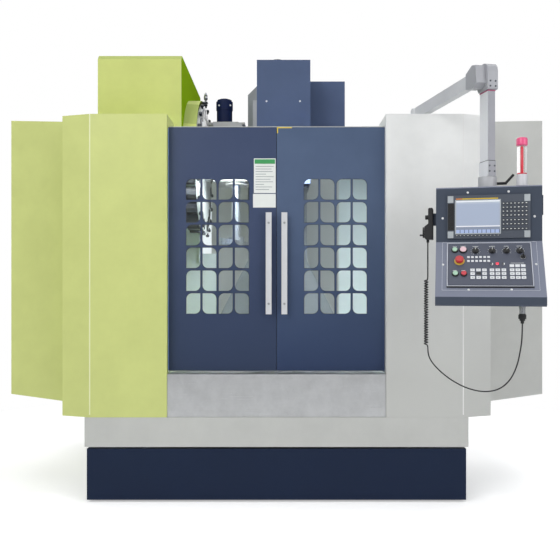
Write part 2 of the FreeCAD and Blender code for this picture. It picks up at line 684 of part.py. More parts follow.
def head_cover():
    """Navy sheet cover of head and motor, with its access plate and the smaller cover beside it."""
    y0, y1, thick = as_size(-100), as_size(380), s.sheet
    x0, x1, low, high = as_size(-132), as_size(219), as_size(1900), as_size(2711)
    owner = prism("head_cover", "XY_Plane", oblong(x0, x1, y0, y1), low, high)
    carve(owner, "XY_Plane", oblong(x0 + thick, x1 - thick, y0 + thick, y1 + 1), low, high - thick)
    feature(owner, "Pad", "XZ_Plane", y0 - 2.5, y0,
            lambda sk: polygon(sk, oblong(x0 + 48, x1 - 60, low + 60, high - 262)))
    for inner, outer in ((x0 + thick, as_size(-118)), (as_size(118), x1 - thick)):
        feature(owner, "Pad", "XY_Plane", low, low + 260,
                lambda sk: polygon(sk, oblong(inner, outer, as_size(60), as_size(120))))
    left, right, front, rear = x1, as_size(476), as_size(240), as_size(375)
    base, top = high - 440, high - 46
    beside = prism("oil_unit_cover", "XY_Plane", oblong(left, right, front, rear), base, top)
    carve(beside, "XY_Plane", oblong(left + thick, right - thick, front + thick, rear - thick),
          base, top - thick)
    keep(fuse([owner, beside]), "head_cover")


saddle()
table()
column()
head()
spindle()
head_cover()
keep(axis_drive(-800, s.saddle_y, s.saddle_top - 16, 1610, "x"), "x_drive")
keep(fuse([axis_drive(0, -520, s.bed_top + 32, 1120, "y"),
           axis_drive(0, s.column_front - 26, s.nose_z - 470, s.column_top - s.nose_z + 490, "z")]),
     "yz_drives")

# ---------------------------------------------------------------- tool magazine


def magazine_hood():
    """Lime hood over the tools: folded box, open below, arched on the right, with a rolled guard."""
    thick, bevel = s.sheet, 28
    x0, x1, y0, y1 = s.hood_left, s.hood_right, s.hood_front, s.hood_back
    low, high = s.hood_low, s.hood_top
    outer = [(y0, low), (y0, high - bevel), (y0 + bevel, high), (y1, high), (y1, low)]
    inner = [(y0 + thick, low), (y0 + thick, high - bevel - 1), (y0 + bevel + 1, high - thick),
             (y1 - thick, high - thick), (y1 - thick, low)]
    owner = prism("hood_shell", "YZ_Plane", outer, x0, x1)
    carve(owner, "YZ_Plane", inner, x0 + thick, x1 - thick)
    drill(owner, "YZ_Plane", [(s.disc_y, s.disc_z)], s.guard_radius, x1 - thick - 1, x1 + 1)
    carve(owner, "YZ_Plane", oblong(s.disc_y - s.guard_radius, s.disc_y + s.guard_radius, low - 1,
                                    s.disc_z), x1 - thick - 1, x1 + 1)
    ring = cut(rod(s.guard_radius, 86, x1 - thick, s.disc_y, s.disc_z, "x"),
               [rod(s.guard_radius - thick, 90, x1 - thick - 2, s.disc_y, s.disc_z, "x"),
                box(x1 - 20, x1 + 100, s.disc_y - 500, s.disc_y + 500, s.disc_z - 500, s.disc_z - 60)])
    keep(fuse([owner, ring]), "magazine_hood")


def pot_place(number):
    """Centre of a pot on the disc; number 0 is the change place at the bottom."""
    angle = math.radians(number * 360 / s.pot_count.value)
    return s.disc_y + s.pot_ring * math.sin(angle), s.disc_z - s.pot_ring * math.cos(angle)


def magazine_disc():
    """Magazine disc on its shaft, with fixed pots, a tool in each, and ears for the tilting pot."""
    face = s.disc_x - 15
    parts = [rod(s.disc_radius, 18, face, s.disc_y, s.disc_z, "x"),
             rod(70, 40, face + 18, s.disc_y, s.disc_z, "x"),
             rod(25, 130, face + 18, s.disc_y, s.disc_z, "x")]
    for number in range(1, int(s.pot_count.value)):
        y, z = pot_place(number)
        parts.append(polygon_rod(10, s.pot_radius, 88, face - 88, y, z))
        long = 95 + 35 * (number % 3)
        parts.append(polygon_rod(6, 12 + 5 * (number % 2), long, face - 88 - long, y, z))
    y, z = pot_place(0)
    for side in (-1, 1):
        mid = y + side * 49.5
        ear = box(face - 53, face, mid - 3, mid + 3, z - 37, z - 9)
        parts.append(cut(ear, rod(5.05, 12, face - 38, mid - 6, z - 23, "y")))
    keep(fuse(parts), "magazine_disc")


def change_pot():
    """The pot at the change place, on a cross pin, with a short tool of which the flange shows."""
    face = s.disc_x - 15
    y, z = pot_place(0)
    pot = polygon_rod(10, s.pot_radius, 80, face - 88, y, z)
    tool = polygon_rod(12, 30, 4, face - 92, y, z)
    pin = rod(5, 105, face - 38, y - 52.5, z - 23, "y")
    keep(fuse([pot, tool, pin]), "change_pot")


def changer_case():
    """Gear case of the tool changer, bored for the disc shaft and the arm shaft, on its bracket."""
    x0, x1, y0, y1 = s.arm_x - 150, s.arm_x + 80, s.arm_y - 90, s.arm_y + 230
    low, high = s.disc_z - 90, s.disc_z + 310
    profile = [(x0, low), (x1, low), (x1, high - 60), (x1 - 60, high), (x0, high)]
    case = prism("case_body", "XZ_Plane", profile, y0, y1)
    bracket = box(x0 + 90, -s.column_half, y1 - 1, s.column_front + 80, low + 110, low + 300)
    flange = rod(72, 16, s.arm_x, s.arm_y, low - 16)
    bores = [rod(25.05, 80, x0 - 1, s.disc_y, s.disc_z, "x"),
             rod(30.05, 180, s.arm_x, s.arm_y, low - 20)]
    shelf = box(x0 - 38, x1 - 17, y0 + 20, y1 - 20, high - 15, high)
    keep(cut(fuse([case, bracket, flange, shelf]), bores), "changer_case")


def changer_motor():
    """Navy flange motor of the tool changer, upright, with a domed fan cover."""
    x, y, low = s.arm_x - 87, s.arm_y + 100, s.disc_z + 310
    steps = [(72, 0, 12), (54, 11, 121), (58, 120, 177), (50, 176, 190), (34, 189, 196)]
    keep(fuse([polygon_rod(24, radius, end - start, x, y, low + start, "z") for radius, start, end in steps]),
         "changer_motor")


def changer_arm():
    """Double tool arm: tapered bar with an open claw at each end, on a round shaft."""
    reach, low = s.arm_reach, s.arm_z
    right = [(as_size(60), -34), (reach - 40, -50), (reach + 30, -52), (reach + 52, -18),
             (reach + 52, 0), (reach - 40, 0), (reach - 60, 30), (as_size(60), 34)]
    left = [(-as_size(x), -as_size(y)) for x, y in right]
    owner = prism("changer_arm", "XY_Plane", right + left, low, low + 36)
    drill(owner, "XY_Plane", [(reach, 0), (-reach, 0)], 34, low - 1, low + 37)
    feature(owner, "Pad", "XY_Plane", low, low + 60, lambda sk: circle(sk, 0, 0, 55))
    feature(owner, "Pad", "XY_Plane", low + 60, s.disc_z + 40, lambda sk: circle(sk, 0, 0, 30))
    owner.Placement = FreeCAD.Placement(V(), FreeCAD.Rotation(V(0, 0, 1), s.arm_rest.value))
    bind(owner, "Placement.Base.x", s.arm_x)
    bind(owner, "Placement.Base.y", s.arm_y)
    keep(owner, "changer_arm")


magazine_hood()
magazine_disc()
change_pot()
changer_case()
changer_motor()
changer_arm()

# ---------------------------------------------------------------- rear


def electrical_cabinet():
    """Electrical cabinet behind the column: sheet box open to the rear, on two cross bars."""
    half, low, high = as_size(560), as_size(430), as_size(2250)
    front, back, thick = s.column_back + 72, s.half_depth - 24, s.sheet
    owner = prism("electrical_cabinet", "XZ_Plane", oblong(-half, half, low, high), front, back)
    carve(owner, "XZ_Plane", oblong(thick - half, half - thick, low + thick, high - thick),
          front + thick, back + 1)
    bars = [box(-s.column_half, s.column_half, s.column_back, front, z, z + 60) for z in (1560, 2140)]
    plate = [box(-470, 470, front + thick, front + thick + 24, low + 150, high - 150)]
    knuckles = hinge_barrels(s.half_depth - 6, (580.4, 1340.4, 2100.4), 40, as_size(4))
    arms = []
    for z in (580.4, 1340.4, 2100.4):
        arms += [box(-564, -560.4, s.half_depth - 60, s.half_depth - 9, z, z + 40),
                 box(-561, -559, s.half_depth - 60, s.half_depth - 26, z, z + 40)]
    keep(fuse([owner] + bars + plate + knuckles + arms), "electrical_cabinet")


def hinge_barrels(y, starts, high, reach):
    """Barrels of the cabinet's hinges, each on a leaf that reaches the sheet behind it."""
    x = as_size(-566.6)
    return [part for z in starts
            for part in (rod(6, high, x, y, z), box(x - 1, x + reach, y - 5, y - 3, z, z + high))]


def cabinet_door():
    """Cabinet door: a folded pan with hinge barrels on the left and a quarter-turn lock."""
    half, low, high = as_size(560), as_size(430), as_size(2250)
    y0, y1, thick = s.half_depth - 23.5, s.half_depth - 6, as_size(2)
    owner = prism("cabinet_door", "XZ_Plane", oblong(-half, half, low, high), y0, y1)
    carve(owner, "XZ_Plane", oblong(thick - half, half - thick, low + thick, high - thick),
          y0 - 1, y1 - thick)
    lock = cut(rod(15, 8, half - 50, y1 - 2, 1340, "y"),
               [box(half - 62, half - 38, y1 + 3, y1 + 7, 1338, 1342)])
    keep(fuse([owner, lock] + hinge_barrels(y1, (540, 1300, 2060), 40, as_size(10))), "cabinet_door")


def main_switch():
    """Rotary main switch on the side of the cabinet: round collar and a grip bar."""
    x, y, z = as_size(560), s.column_back + 180, as_size(1560)
    keep(fuse([polygon_rod(24, 34, 10, x + 0.4, y, z), rod(22, 34, x + 0.4, y, z, "x"),
               box(x + 20, x + 40, y - 9, y + 9, z - 34, z + 34)]), "main_switch")


def coolant_tank():
    """Coolant tank on the floor behind the bed, with its lid and upright pump."""
    y0, y1, high = s.bed_back + 20, s.half_depth - 30, as_size(300)
    tank = prism("tank", "YZ_Plane", [(y0, 0), (y1, 0), (y1, high), (y0, high)], -760, 760)
    carve(tank, "XY_Plane", oblong(-754, 754, y0 + 6, y1 - 6), 6, high - 6)
    lid = box(520, 790, y0 - 6, y1 + 6, high, high + 8)
    pump = [rod(70, 20, 655, s.half_depth - 160, high + 8), rod(55, 240, 655, s.half_depth - 160, high + 8),
            rod(62, 50, 655, s.half_depth - 160, high + 200)]
    keep(fuse([tank, lid] + pump), "coolant_tank")


electrical_cabinet()
cabinet_door()
main_switch()
coolant_tank()

# ---------------------------------------------------------------- swing arm

Z_AXIS = V(0, 0, 1)
ARM = FreeCAD.Placement(V(s.post_x.value, s.post_y.value, 0), FreeCAD.Rotation(Z_AXIS, s.arm_turn.value))
BOX = FreeCAD.Placement(V(s.post_x.value, s.post_y.value, 0), FreeCAD.Rotation(Z_AXIS, -s.box_turn.value))


def settle(obj, frame, name):
    """Keeps a piece that was made in a turned frame, moved there."""
    doc.recompute()
    if obj.isDerivedFrom("PartDesign::Body"):
        obj.Placement = frame
        return keep(obj, name)
    moved = doc.addObject("Part::Compound", "moved")
    moved.Links = [obj]
    moved.Placement = frame
    return keep(moved, name)


def arm_pivot():
    """Pivot of the swing arm: flange on the cover, short neck and pin."""
    x, y, low = s.arm_side, s.arm_long, s.cover_top
    settle(fuse([polygon_rod(24, 52, 10, x, y, low, "z"), polygon_rod(24, 30, 17.6, x, y, low, "z"),
                 rod(16, 80, x, y, low)]), ARM, "arm_pivot")


def arm_tube():
    """Swing arm: rectangular aluminium tube with a cross bore for the pivot pin and a round end."""
    x, y, mid, half = s.arm_side, s.arm_long, s.arm_mid, s.arm_wide / 2
    low, high = mid - s.arm_high / 2, mid + s.arm_high / 2
    tube = box(x - half, x + half, 74, y + 44, low, high)
    hollow = box(x - half + 4, x + half - 4, 78, y - 60, low + 4, high - 4)
    hub = rod(30, s.arm_high, x, y, low)
    settle(cut(fuse([cut(tube, hollow), hub]), rod(16.05, 100, x, y, low - 10)), ARM, "arm_tube")


def arm_elbow():
    """Cast elbow: rounded cap over the post and a six-sided flange that takes the tube."""
    half, low, high = as_size(27), s.elbow_low, s.elbow_top
    side = [(-56, low + 6), (-56, high - 44), (-50, high - 22), (-36, high - 6), (-16, high),
            (40, high), (55, high - 22), (55, low + 22), (40, low), (-50, low)]
    owner = prism("arm_elbow", "YZ_Plane", side, -half, half)
    mid = s.arm_mid
    hexagon = [(74, mid - 39), (74, mid + 39), (8, mid + 66), (-30, mid + 58), (-40, mid - 30),
               (0, mid - 50)]
    feature(owner, "Pad", "YZ_Plane", s.arm_side - s.arm_wide / 2 - 5, -half,
            lambda sk: polygon(sk, hexagon))
    settle(owner, ARM, "arm_elbow")


def arm_post():
    """Upright aluminium post: hollow flat tube, its clamp block with four screws below."""
    low, high = s.box_top + 56.4, s.elbow_low
    tube = cut(box(-19, 19, -42, 42, low + 40, high), box(-15, 15, -38, 38, low + 60, high - 30))
    block = box(-24, 24, -47, 47, low, low + 75)
    pin = rod(18, 40, 0, 0, low - 39)
    settle(fuse([round_edges(block, 6, upright), tube, pin]), ARM, "arm_post")


def control_box():
    """Control box: folded housing with an upright screen face, a sloping console and a swivel collar."""
    half, thick = s.box_half, s.sheet
    side = [(s.box_back, s.box_low), (s.lip_front + 14, s.box_low), (s.lip_front, s.box_low + 8),
            (s.lip_front, s.lip_top), (s.box_face, s.box_bend), (s.box_face, s.box_top - 6),
            (s.box_face + 6, s.box_top), (s.box_back - 30, s.box_top), (s.box_back, s.box_top - 30)]
    room = [(s.box_back - thick, s.box_low + 40), (s.lip_front + thick + 20, s.box_low + 40),
            (s.box_face + thick + 8, s.box_bend + 6), (s.box_face + thick + 8, s.box_top - 40),
            (s.box_back - thick, s.box_top - 40)]
    owner = prism("housing", "YZ_Plane", side, -half, half)
    carve(owner, "YZ_Plane", room, 40 - half, half - 40)
    collar = cut(rod(45, 56, 0, 0, s.box_top), rod(18.05, 60, 0, 0, s.box_top + 16))
    latch = box(half, half + 9, s.box_face + 40, s.box_face + 56, s.box_top - 140, s.box_top - 45)
    hook = box(-half - 15, -half, s.cord_v - 14, s.cord_v + 14, 1540, 1600)
    settle(fuse([owner, collar, latch, hook]), BOX, "control_box")


def clamp_lever():
    """Clamp lever of the swivel: threaded hub and a ball-ended handle."""
    z = s.box_top + 24
    hub = rod(7, 46, 45.4, 0, z, "x")
    grip = polygon_rod(8, 6.5, 56, 86.4, 0, z, "z")
    grip.Placement = FreeCAD.Placement(grip.Placement.Base, FreeCAD.Rotation(V(0, 1, 0), 42))
    settle(fuse([hub, grip]), BOX, "clamp_lever")


# ---------------------------------------------------------------- control panel


def face_frame(u, z):
    """Frame on the upright screen face, with its own Z pointing out of the face."""
    lift = FreeCAD.Placement(V(u, s.box_face.value, z), FreeCAD.Rotation(V(1, 0, 0), 90))
    return BOX * lift


SLOPE = math.atan2((s.box_bend - s.lip_top).value, (s.box_face - s.lip_front).value)


def slope_frame(u, down):
    """Frame on the sloping console, a distance down from its bend, with its Z pointing out."""
    lift = FreeCAD.Placement(V(0, s.box_face.value, s.box_bend.value),
                             FreeCAD.Rotation(V(1, 0, 0), math.degrees(SLOPE)))
    return BOX * lift * FreeCAD.Placement(V(u, -down, 0), FreeCAD.Rotation())


def key_block(columns, rows, wide, high, start, end):
    """Square keys at every crossing of the columns and rows."""
    return [box(x - wide / 2, x + wide / 2, y - high / 2, y + high / 2, start, end)
            for y in rows for x in columns]


def screen_unit():
    """Screen and keyboard unit: moulded panel, sunk screen, card slot, soft keys and key field."""
    middle = 1575
    owner = prism("screen_unit", "XY_Plane", oblong(-192, 193, 1470 - middle, 1680 - middle), 0, 10)
    carve(owner, "XY_Plane", oblong(-152, 54, 1495 - middle, 1654 - middle), 5, 10)
    carve(owner, "XY_Plane", oblong(-186, -161, 1510 - middle, 1641 - middle), 4, 10)
    keys = key_block([-148 + 17.6 * i for i in range(12)], [1484.5 - middle], 12, 9, 9.5, 12)
    keys += key_block([70 + 17.4 * i for i in range(7)],
                      [z - middle for z in (1636, 1617, 1598, 1579, 1556, 1537, 1514)], 13, 13, 9.5, 12.5)
    settle(fuse([owner] + keys), face_frame(0, middle), "screen_unit")


BUTTONS = {"push_button_1": (-157, 57, 14), "push_button_2": (-118, 57, 17),
           "push_button_3": (-155, 197, 14), "push_button_4": (-116, 197, 14)}
SWITCHES = {"rotary_switch_1": (-61, 63), "rotary_switch_2": (16, 64), "rotary_switch_3": (81, 65),
            "rotary_switch_4": (141, 65)}
STOP, KEY = (-136, 122), (154, 100)


def operator_plate():
    """Operator plate: raised plate bored for its controls, with blocks of square keys."""
    owner = prism("operator_plate", "XY_Plane", oblong(-188, 189, -260, -16), 0, s.plate_thick)
    small = [(u, -down) for u, down, radius in BUTTONS.values()] + [(STOP[0], -STOP[1])]
    drill(owner, "XY_Plane", small, 8.3, -1, 9)
    drill(owner, "XY_Plane", [(u, -down) for u, down in list(SWITCHES.values()) + [KEY]], 6.05, -1, 9)
    top, proud = s.plate_thick - 0.5, s.plate_thick + 3
    lines = [-176, -197, -219]
    keys = key_block([-94 + 18.6 * i for i in range(6)], [-100, -123], 12, 10, top, proud)
    for columns, rows in (([-76, -49, -22, 12, 38, 65], lines), ([102, 127, 152], [-152] + lines)):
        keys += key_block(columns, rows, 20, 15, top, proud)
    keys += [polygon_rod(8, 6, 5.5, x, -142, top, "z") for x in (12, 37, 65)]
    settle(fuse([owner] + keys), slope_frame(0, 0), "operator_plate")


def stacked(name, steps, frame, sides=16):
    """A piece of coaxial many-sided rods, each given by its radius, start and end."""
    parts = [polygon_rod(sides, radius, as_size(end) - start, 0, 0, start, "z") for radius, start, end in steps]
    return settle(fuse(parts), frame, name)


def controls():
    """Push buttons, rotary switches, emergency stop and key switch."""
    for name, (u, down, radius) in BUTTONS.items():
        stacked(name, [(7.8, 4, 12.5), (radius - 2, 12, 18)], slope_frame(u, down))
    stacked("emergency_stop", [(7.8, 4.5, 17), (14, 16, 20), (20, 19, 26), (16, 25, 31)],
            slope_frame(*STOP), 20)
    for name, (u, down) in SWITCHES.items():
        owner = body(name)
        feature(owner, "Pad", "XY_Plane", 3, 9, lambda sk: circle(sk, 0, 0, 6))
        feature(owner, "Pad", "XY_Plane", 8.4, 14, lambda sk: circle(sk, 0, 0, 15))
        feature(owner, "Pad", "XY_Plane", 14, 25,
                lambda sk: polygon(sk, [(-4.5, -14), (4.5, -14), (4, 10), (0, 14), (-4, 10)]))
        settle(owner, slope_frame(u, down), name)
    owner = body("key_switch")
    feature(owner, "Pad", "XY_Plane", 3, 9, lambda sk: circle(sk, 0, 0, 6))
    feature(owner, "Pad", "XY_Plane", 8.4, 15, lambda sk: circle(sk, 0, 0, 11))
    feature(owner, "Pad", "XY_Plane", 15, 26, lambda sk: polygon(sk, oblong(-1.5, 1.5, -5, 5)))
    feature(owner, "Pad", "XY_Plane", 26, 46, lambda sk: polygon(sk, oblong(-1.5, 1.5, -11, 11)))
    settle(owner, slope_frame(*KEY), "key_switch")


def signal_lamp():
    """Signal lamp: base, clear lens and cap on one round foot."""
    spot = BOX * FreeCAD.Placement(V(160, -34, s.box_top.value), FreeCAD.Rotation())
    stacked("signal_lamp", [(30, 0, 8), (26, 7, 60), (23.5, 59, 202), (26.5, 201, 239)], spot, 24)


arm_pivot()
arm_tube()
arm_elbow()
arm_post()
control_box()
clamp_lever()
screen_unit()
operator_plate()
controls()
signal_lamp()

# ---------------------------------------------------------------- pendant and its cord


def pendant():
    """Hand pendant hung on the side of the box: moulded body, thicker at the wheel end."""
    edge = -s.box_half - 15
    outline = [(edge, 1470), (edge, 1620), (edge - 4, 1626), (edge - 20, 1626), (edge - 24, 1620),
               (edge - 24, 1548), (edge - 42, 1534), (edge - 42, 1478), (edge - 34, 1470)]
    case = prism("pendant_case", "XZ_Plane", outline, s.cord_v - 37, s.cord_v + 37)
    relief = rod(7, 16, s.cord_u + s.curl_radius, s.cord_v, 1456)
    tools = [rod(4.05, 48, edge - 60, s.cord_v, z, "x") for z in (1582, 1506)]
    settle(cut(fuse([round_edges(case, 4, lambda e: e.Length > 140),
                     relief]), tools), BOX, "pendant")


def pendant_wheel():
    """Handwheel of the pendant with its crank grip."""
    edge = -s.box_half - 15 - 42
    y, z = s.cord_v, as_size(1506)
    parts = [polygon_rod(24, 27, 9, edge - 9.5, y, z), rod(4, 18, edge - 8, y, z, "x"),
             polygon_rod(10, 4.5, 16, edge - 25, y + 16, z - 12)]
    settle(fuse(parts), BOX, "pendant_wheel")


def pendant_knob():
    """Axis selector knob of the pendant."""
    edge = -s.box_half - 15 - 24
    y, z = s.cord_v, as_size(1582)
    parts = [polygon_rod(20, 11, 12, edge - 12.5, y, z), rod(4, 18, edge - 8, y, z, "x"),
             box(edge - 16, edge - 12, y - 2.5, y + 2.5, z - 10, z + 10)]
    settle(fuse(parts), BOX, "pendant_knob")


def smooth_route(points, label):
    """Straight runs joined by tangent arcs, each as large as its two runs allow."""
    edges, start = [], points[0]
    radii = []
    for before, corner, after in zip(points, points[1:], points[2:]):
        first, second = (before - corner), (after - corner)
        half_turn = (math.pi - first.getAngle(second)) / 2
        reach = 0.45 * min(first.Length, second.Length)
        radii.append(reach / math.tan(half_turn))
        enter = corner + first * (reach / first.Length)
        leave = corner + second * (reach / second.Length)
        inward = ((enter + leave) / 2 - corner).normalize()
        centre_gap = math.hypot(reach, radii[-1]) - radii[-1]
        edges.append(Part.LineSegment(start, enter).toShape())
        edges.append(Part.Arc(enter, corner + inward * centre_gap, leave).toShape())
        start = leave
    edges.append(Part.LineSegment(start, points[-1]).toShape())
    print(f"{label}: radii {[round(r) for r in radii]} mm, length {sum(e.Length for e in edges):.0f} mm")
    return Part.Wire(edges)


def tube_along(path, sides):
    """A tube of the cord's thickness along a path, round or with flat sides."""
    radius = s.cord_radius.value
    edge = path.Edges[0]
    start, ahead = edge.valueAt(edge.FirstParameter), edge.tangentAt(edge.FirstParameter)
    if sides == 0:
        section = Part.Wire(Part.makeCircle(radius, start, ahead))
    else:
        turn = FreeCAD.Rotation(V(0, 0, 1), ahead)
        corners = [start + turn.multVec(V(radius * math.cos(2 * math.pi * i / sides),
                                          radius * math.sin(2 * math.pi * i / sides), 0))
                   for i in range(sides)]
        section = Part.makePolygon(corners + corners[:1])
    return path.makePipeShell([section], True, False)


def cord_piece(path, sides, name):
    """Keeps a cord's solid, and compares its volume with its section times its length."""
    solid = tube_along(path, sides)
    radius = s.cord_radius.value
    area = math.pi * radius ** 2 if sides == 0 else sides / 2 * radius ** 2 * math.sin(2 * math.pi / sides)
    print(f"{name}: volume over section times length {solid.Volume / (area * path.Length):.4f}")
    obj = doc.addObject("Part::Feature", name)
    obj.Shape = solid
    obj.Placement = BOX
    keep(obj, name)


def biarc(first, ahead_1, last, ahead_2):
    """Two arcs that join two points and keep both directions."""
    gap, both = last - first, ahead_1 + ahead_2
    low = 2 * (ahead_1.dot(ahead_2) - 1)
    middle = -2 * gap.dot(both)
    reach = (-middle - math.sqrt(middle ** 2 - 4 * low * gap.dot(gap))) / (2 * low)
    if reach < 0:
        reach = (-middle + math.sqrt(middle ** 2 - 4 * low * gap.dot(gap))) / (2 * low)
    corner_1, corner_2 = first + ahead_1 * reach, last - ahead_2 * reach
    joint = (corner_1 + corner_2) / 2
    edges = []
    for start, corner, end in ((first, corner_1, joint), (joint, corner_2, last)):
        chord = (start + end) / 2
        half, rise = (end - start).Length / 2, (corner - chord).Length
        radius = half * reach / rise
        crown = chord + (corner - chord) * ((radius - math.sqrt(radius ** 2 - half ** 2)) / rise)
        edges.append(Part.Arc(start, crown, end).toShape())
    return edges


def curly_cord():
    """Curly cord: one unbroken tube wound into curls, its ends straight and upright."""
    radius, turns = s.curl_radius.value, int(s.curl_count.value)
    thick = s.cord_radius.value * 2
    centre = V(s.cord_u.value, s.cord_v.value, 0)
    top, low = s.curl_top.value, s.curl_low.value
    bend = 14.0
    upper, lower = top - thick - bend, low + thick + bend
    pitch = (upper - lower) / (turns - 0.5)
    slope = pitch / (2 * math.pi)
    rise = math.hypot(radius, slope)

    def spot(turn):
        angle = 2 * math.pi * turn
        return centre + V(radius * math.cos(angle), radius * math.sin(angle), upper - pitch * turn)

    def ahead(turn):
        angle = 2 * math.pi * turn
        return V(-radius * math.sin(angle), radius * math.cos(angle), -slope) / rise

    down = V(0, 0, -1)
    entry = V(centre.x + radius, centre.y, top)
    leave = V(centre.x + radius, centre.y, low)
    edges = [Part.LineSegment(entry, entry + down * thick).toShape()]
    edges += biarc(entry + down * thick, down, spot(0.25), ahead(0.25))
    quarter, last = 0.25, turns - 0.25
    while quarter < last - 0.01:
        edges += biarc(spot(quarter), ahead(quarter), spot(quarter + 0.5), ahead(quarter + 0.5))
        quarter += 0.5
    edges += biarc(spot(last), ahead(last), leave - down * thick, down)
    edges.append(Part.LineSegment(leave - down * thick, leave).toShape())
    steps = [spot(0.25 + i / 24) for i in range(int((turns - 1) * 24))]
    least = min((steps[i] - steps[j]).Length for i in range(0, 48) for j in range(i + 12, i + 60))
    tightest = min(edge.Curve.Radius for edge in edges if hasattr(edge.Curve, "Radius"))
    print(f"curly cord: {turns} curls, least radius {tightest:.1f}, least gap {least - thick:.2f} mm")
    cord_piece(Part.Wire(edges), 6, "curly_cord")


def cord_gland():
    """Cable gland under the console: hexagon and dome nut."""
    spot = BOX * FreeCAD.Placement(V(s.gland_u.value, s.gland_v.value, 0), FreeCAD.Rotation())
    low = s.box_low
    settle(fuse([polygon_rod(6, 15, 14, 0, 0, low - 14, "z"), rod(13, 24, 0, 0, low - 38)]),
           spot, "cord_gland")


def cord_plug():
    """Round moulded plug of the pendant lead, pushed on below the gland."""
    spot = BOX * FreeCAD.Placement(V(s.gland_u.value, s.gland_v.value, 0), FreeCAD.Rotation())
    top = s.box_low.value - 38
    stacked("cord_plug", [(15, top - 6, top), (18, top - 24, top - 5), (13, top - 33, top - 23),
                          (8, top - 46, top - 32)], spot)


pendant()
pendant_wheel()
pendant_knob()
lead_x = s.cord_u.value + s.curl_radius.value
lead_y = s.cord_v.value
cord_piece(Part.Wire(Part.LineSegment(V(lead_x, lead_y, 1456), V(lead_x, lead_y, s.curl_top.value)).toShape()),
           0, "cord_lead")
curly_cord()
plug_x, plug_y, plug_low = s.gland_u.value, s.gland_v.value, s.box_low.value - 84
LOOP = [(lead_x, s.curl_low.value), (lead_x, 897), (-270, 856), (-221, 807), (-160, 765), (-92, 736),
        (-18, 726), (49, 743), (98, 790), (128, 858), (143, 932), (plug_x, 1000), (plug_x, plug_low)]


def loop_point(u, z):
    """A point of the free lead, which hangs in the plane through its two ends."""
    share = min(max((u - lead_x) / (plug_x - lead_x), 0), 1)
    return V(u, lead_y + (plug_y - lead_y) * share, z)


cord_piece(smooth_route([loop_point(u, z) for u, z in LOOP], "cord loop"), 8, "cord_loop")
cord_gland()
cord_plug()

# ---------------------------------------------------------------- export
doc.recompute()
for obj in doc.Objects:
    if "Invalid" in obj.State or "Error" in obj.State:
        raise RuntimeError(f"{obj.Name} ({obj.Label}) did not compute: {obj.State}")
for obj in pieces:
    if obj.Shape.isNull() or not obj.Shape.isValid():
        raise RuntimeError(f"{obj.Label} has no valid shape")

os.makedirs("parts", exist_ok=True)
for obj in pieces:
    obj.Shape.exportStep(f"parts/{obj.Label}.step")
print(len(pieces), "pieces")
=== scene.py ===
import json
import math

import bmesh
import bpy
from mathutils import Matrix, Vector

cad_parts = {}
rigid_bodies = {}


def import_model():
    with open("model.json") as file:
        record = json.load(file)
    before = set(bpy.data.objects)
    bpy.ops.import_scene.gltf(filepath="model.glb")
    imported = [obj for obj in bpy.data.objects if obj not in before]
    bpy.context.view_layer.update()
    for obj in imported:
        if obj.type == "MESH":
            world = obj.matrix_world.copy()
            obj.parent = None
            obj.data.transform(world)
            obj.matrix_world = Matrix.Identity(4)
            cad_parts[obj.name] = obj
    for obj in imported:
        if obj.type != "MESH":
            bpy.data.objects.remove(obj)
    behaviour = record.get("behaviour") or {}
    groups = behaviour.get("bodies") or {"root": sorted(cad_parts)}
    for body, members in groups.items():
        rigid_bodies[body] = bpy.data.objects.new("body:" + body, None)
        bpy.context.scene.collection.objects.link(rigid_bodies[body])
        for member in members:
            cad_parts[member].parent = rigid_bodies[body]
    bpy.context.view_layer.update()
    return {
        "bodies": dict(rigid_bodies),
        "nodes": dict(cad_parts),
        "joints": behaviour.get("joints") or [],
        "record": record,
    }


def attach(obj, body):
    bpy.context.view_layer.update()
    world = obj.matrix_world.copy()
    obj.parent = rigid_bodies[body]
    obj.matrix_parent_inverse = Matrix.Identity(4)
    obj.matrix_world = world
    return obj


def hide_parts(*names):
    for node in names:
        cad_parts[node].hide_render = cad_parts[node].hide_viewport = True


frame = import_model()
nodes = frame["nodes"]


# ---------------------------------------------------------------- studio
# A pale floor, a white surround and large soft lights. The camera is level and looks
# at the front from a little above the door handles.

def node(tree, kind, inputs=None, **settings):
    """Adds a shader node; an input is a number, a colour or another node's socket."""
    made = tree.nodes.new("ShaderNode" + kind)
    for key, value in settings.items():
        setattr(made, key, value)
    for key, value in (inputs or {}).items():
        if isinstance(value, bpy.types.NodeSocket):
            tree.links.new(value, made.inputs[key])
        else:
            made.inputs[key].default_value = value
    return made


def maths(tree, operation, first, second, **settings):
    """The socket with the result of one operation on two numbers."""
    return node(tree, "Math", {0: first, 1: second}, operation=operation, **settings).outputs[0]


def vectors(tree, operation, first, second=(0, 0, 0)):
    """The socket with the result of one operation on two vectors."""
    made = node(tree, "VectorMath", {0: first, 1: second}, operation=operation)
    return made.outputs["Value" if operation in ("DOT_PRODUCT", "DISTANCE") else "Vector"]


def ranged(tree, value, low, high, first=0.0, last=1.0):
    """The socket of a number that goes from first to last while the value goes from low to high."""
    return node(tree, "MapRange", {0: value, 1: low, 2: high, 3: first, 4: last}).outputs[0]


def tint(code):
    """A linear colour from the hex code that a picture shows."""
    parts = [int(code[i:i + 2], 16) / 255 for i in (1, 3, 5)]
    return [p / 12.92 if p <= 0.04045 else ((p + 0.055) / 1.055) ** 2.4 for p in parts] + [1.0]


def new_material(name):
    """A fresh material and its principled shader."""
    material = bpy.data.materials.new(name)
    material.use_nodes = True
    return material, material.node_tree, material.node_tree.nodes["Principled BSDF"]


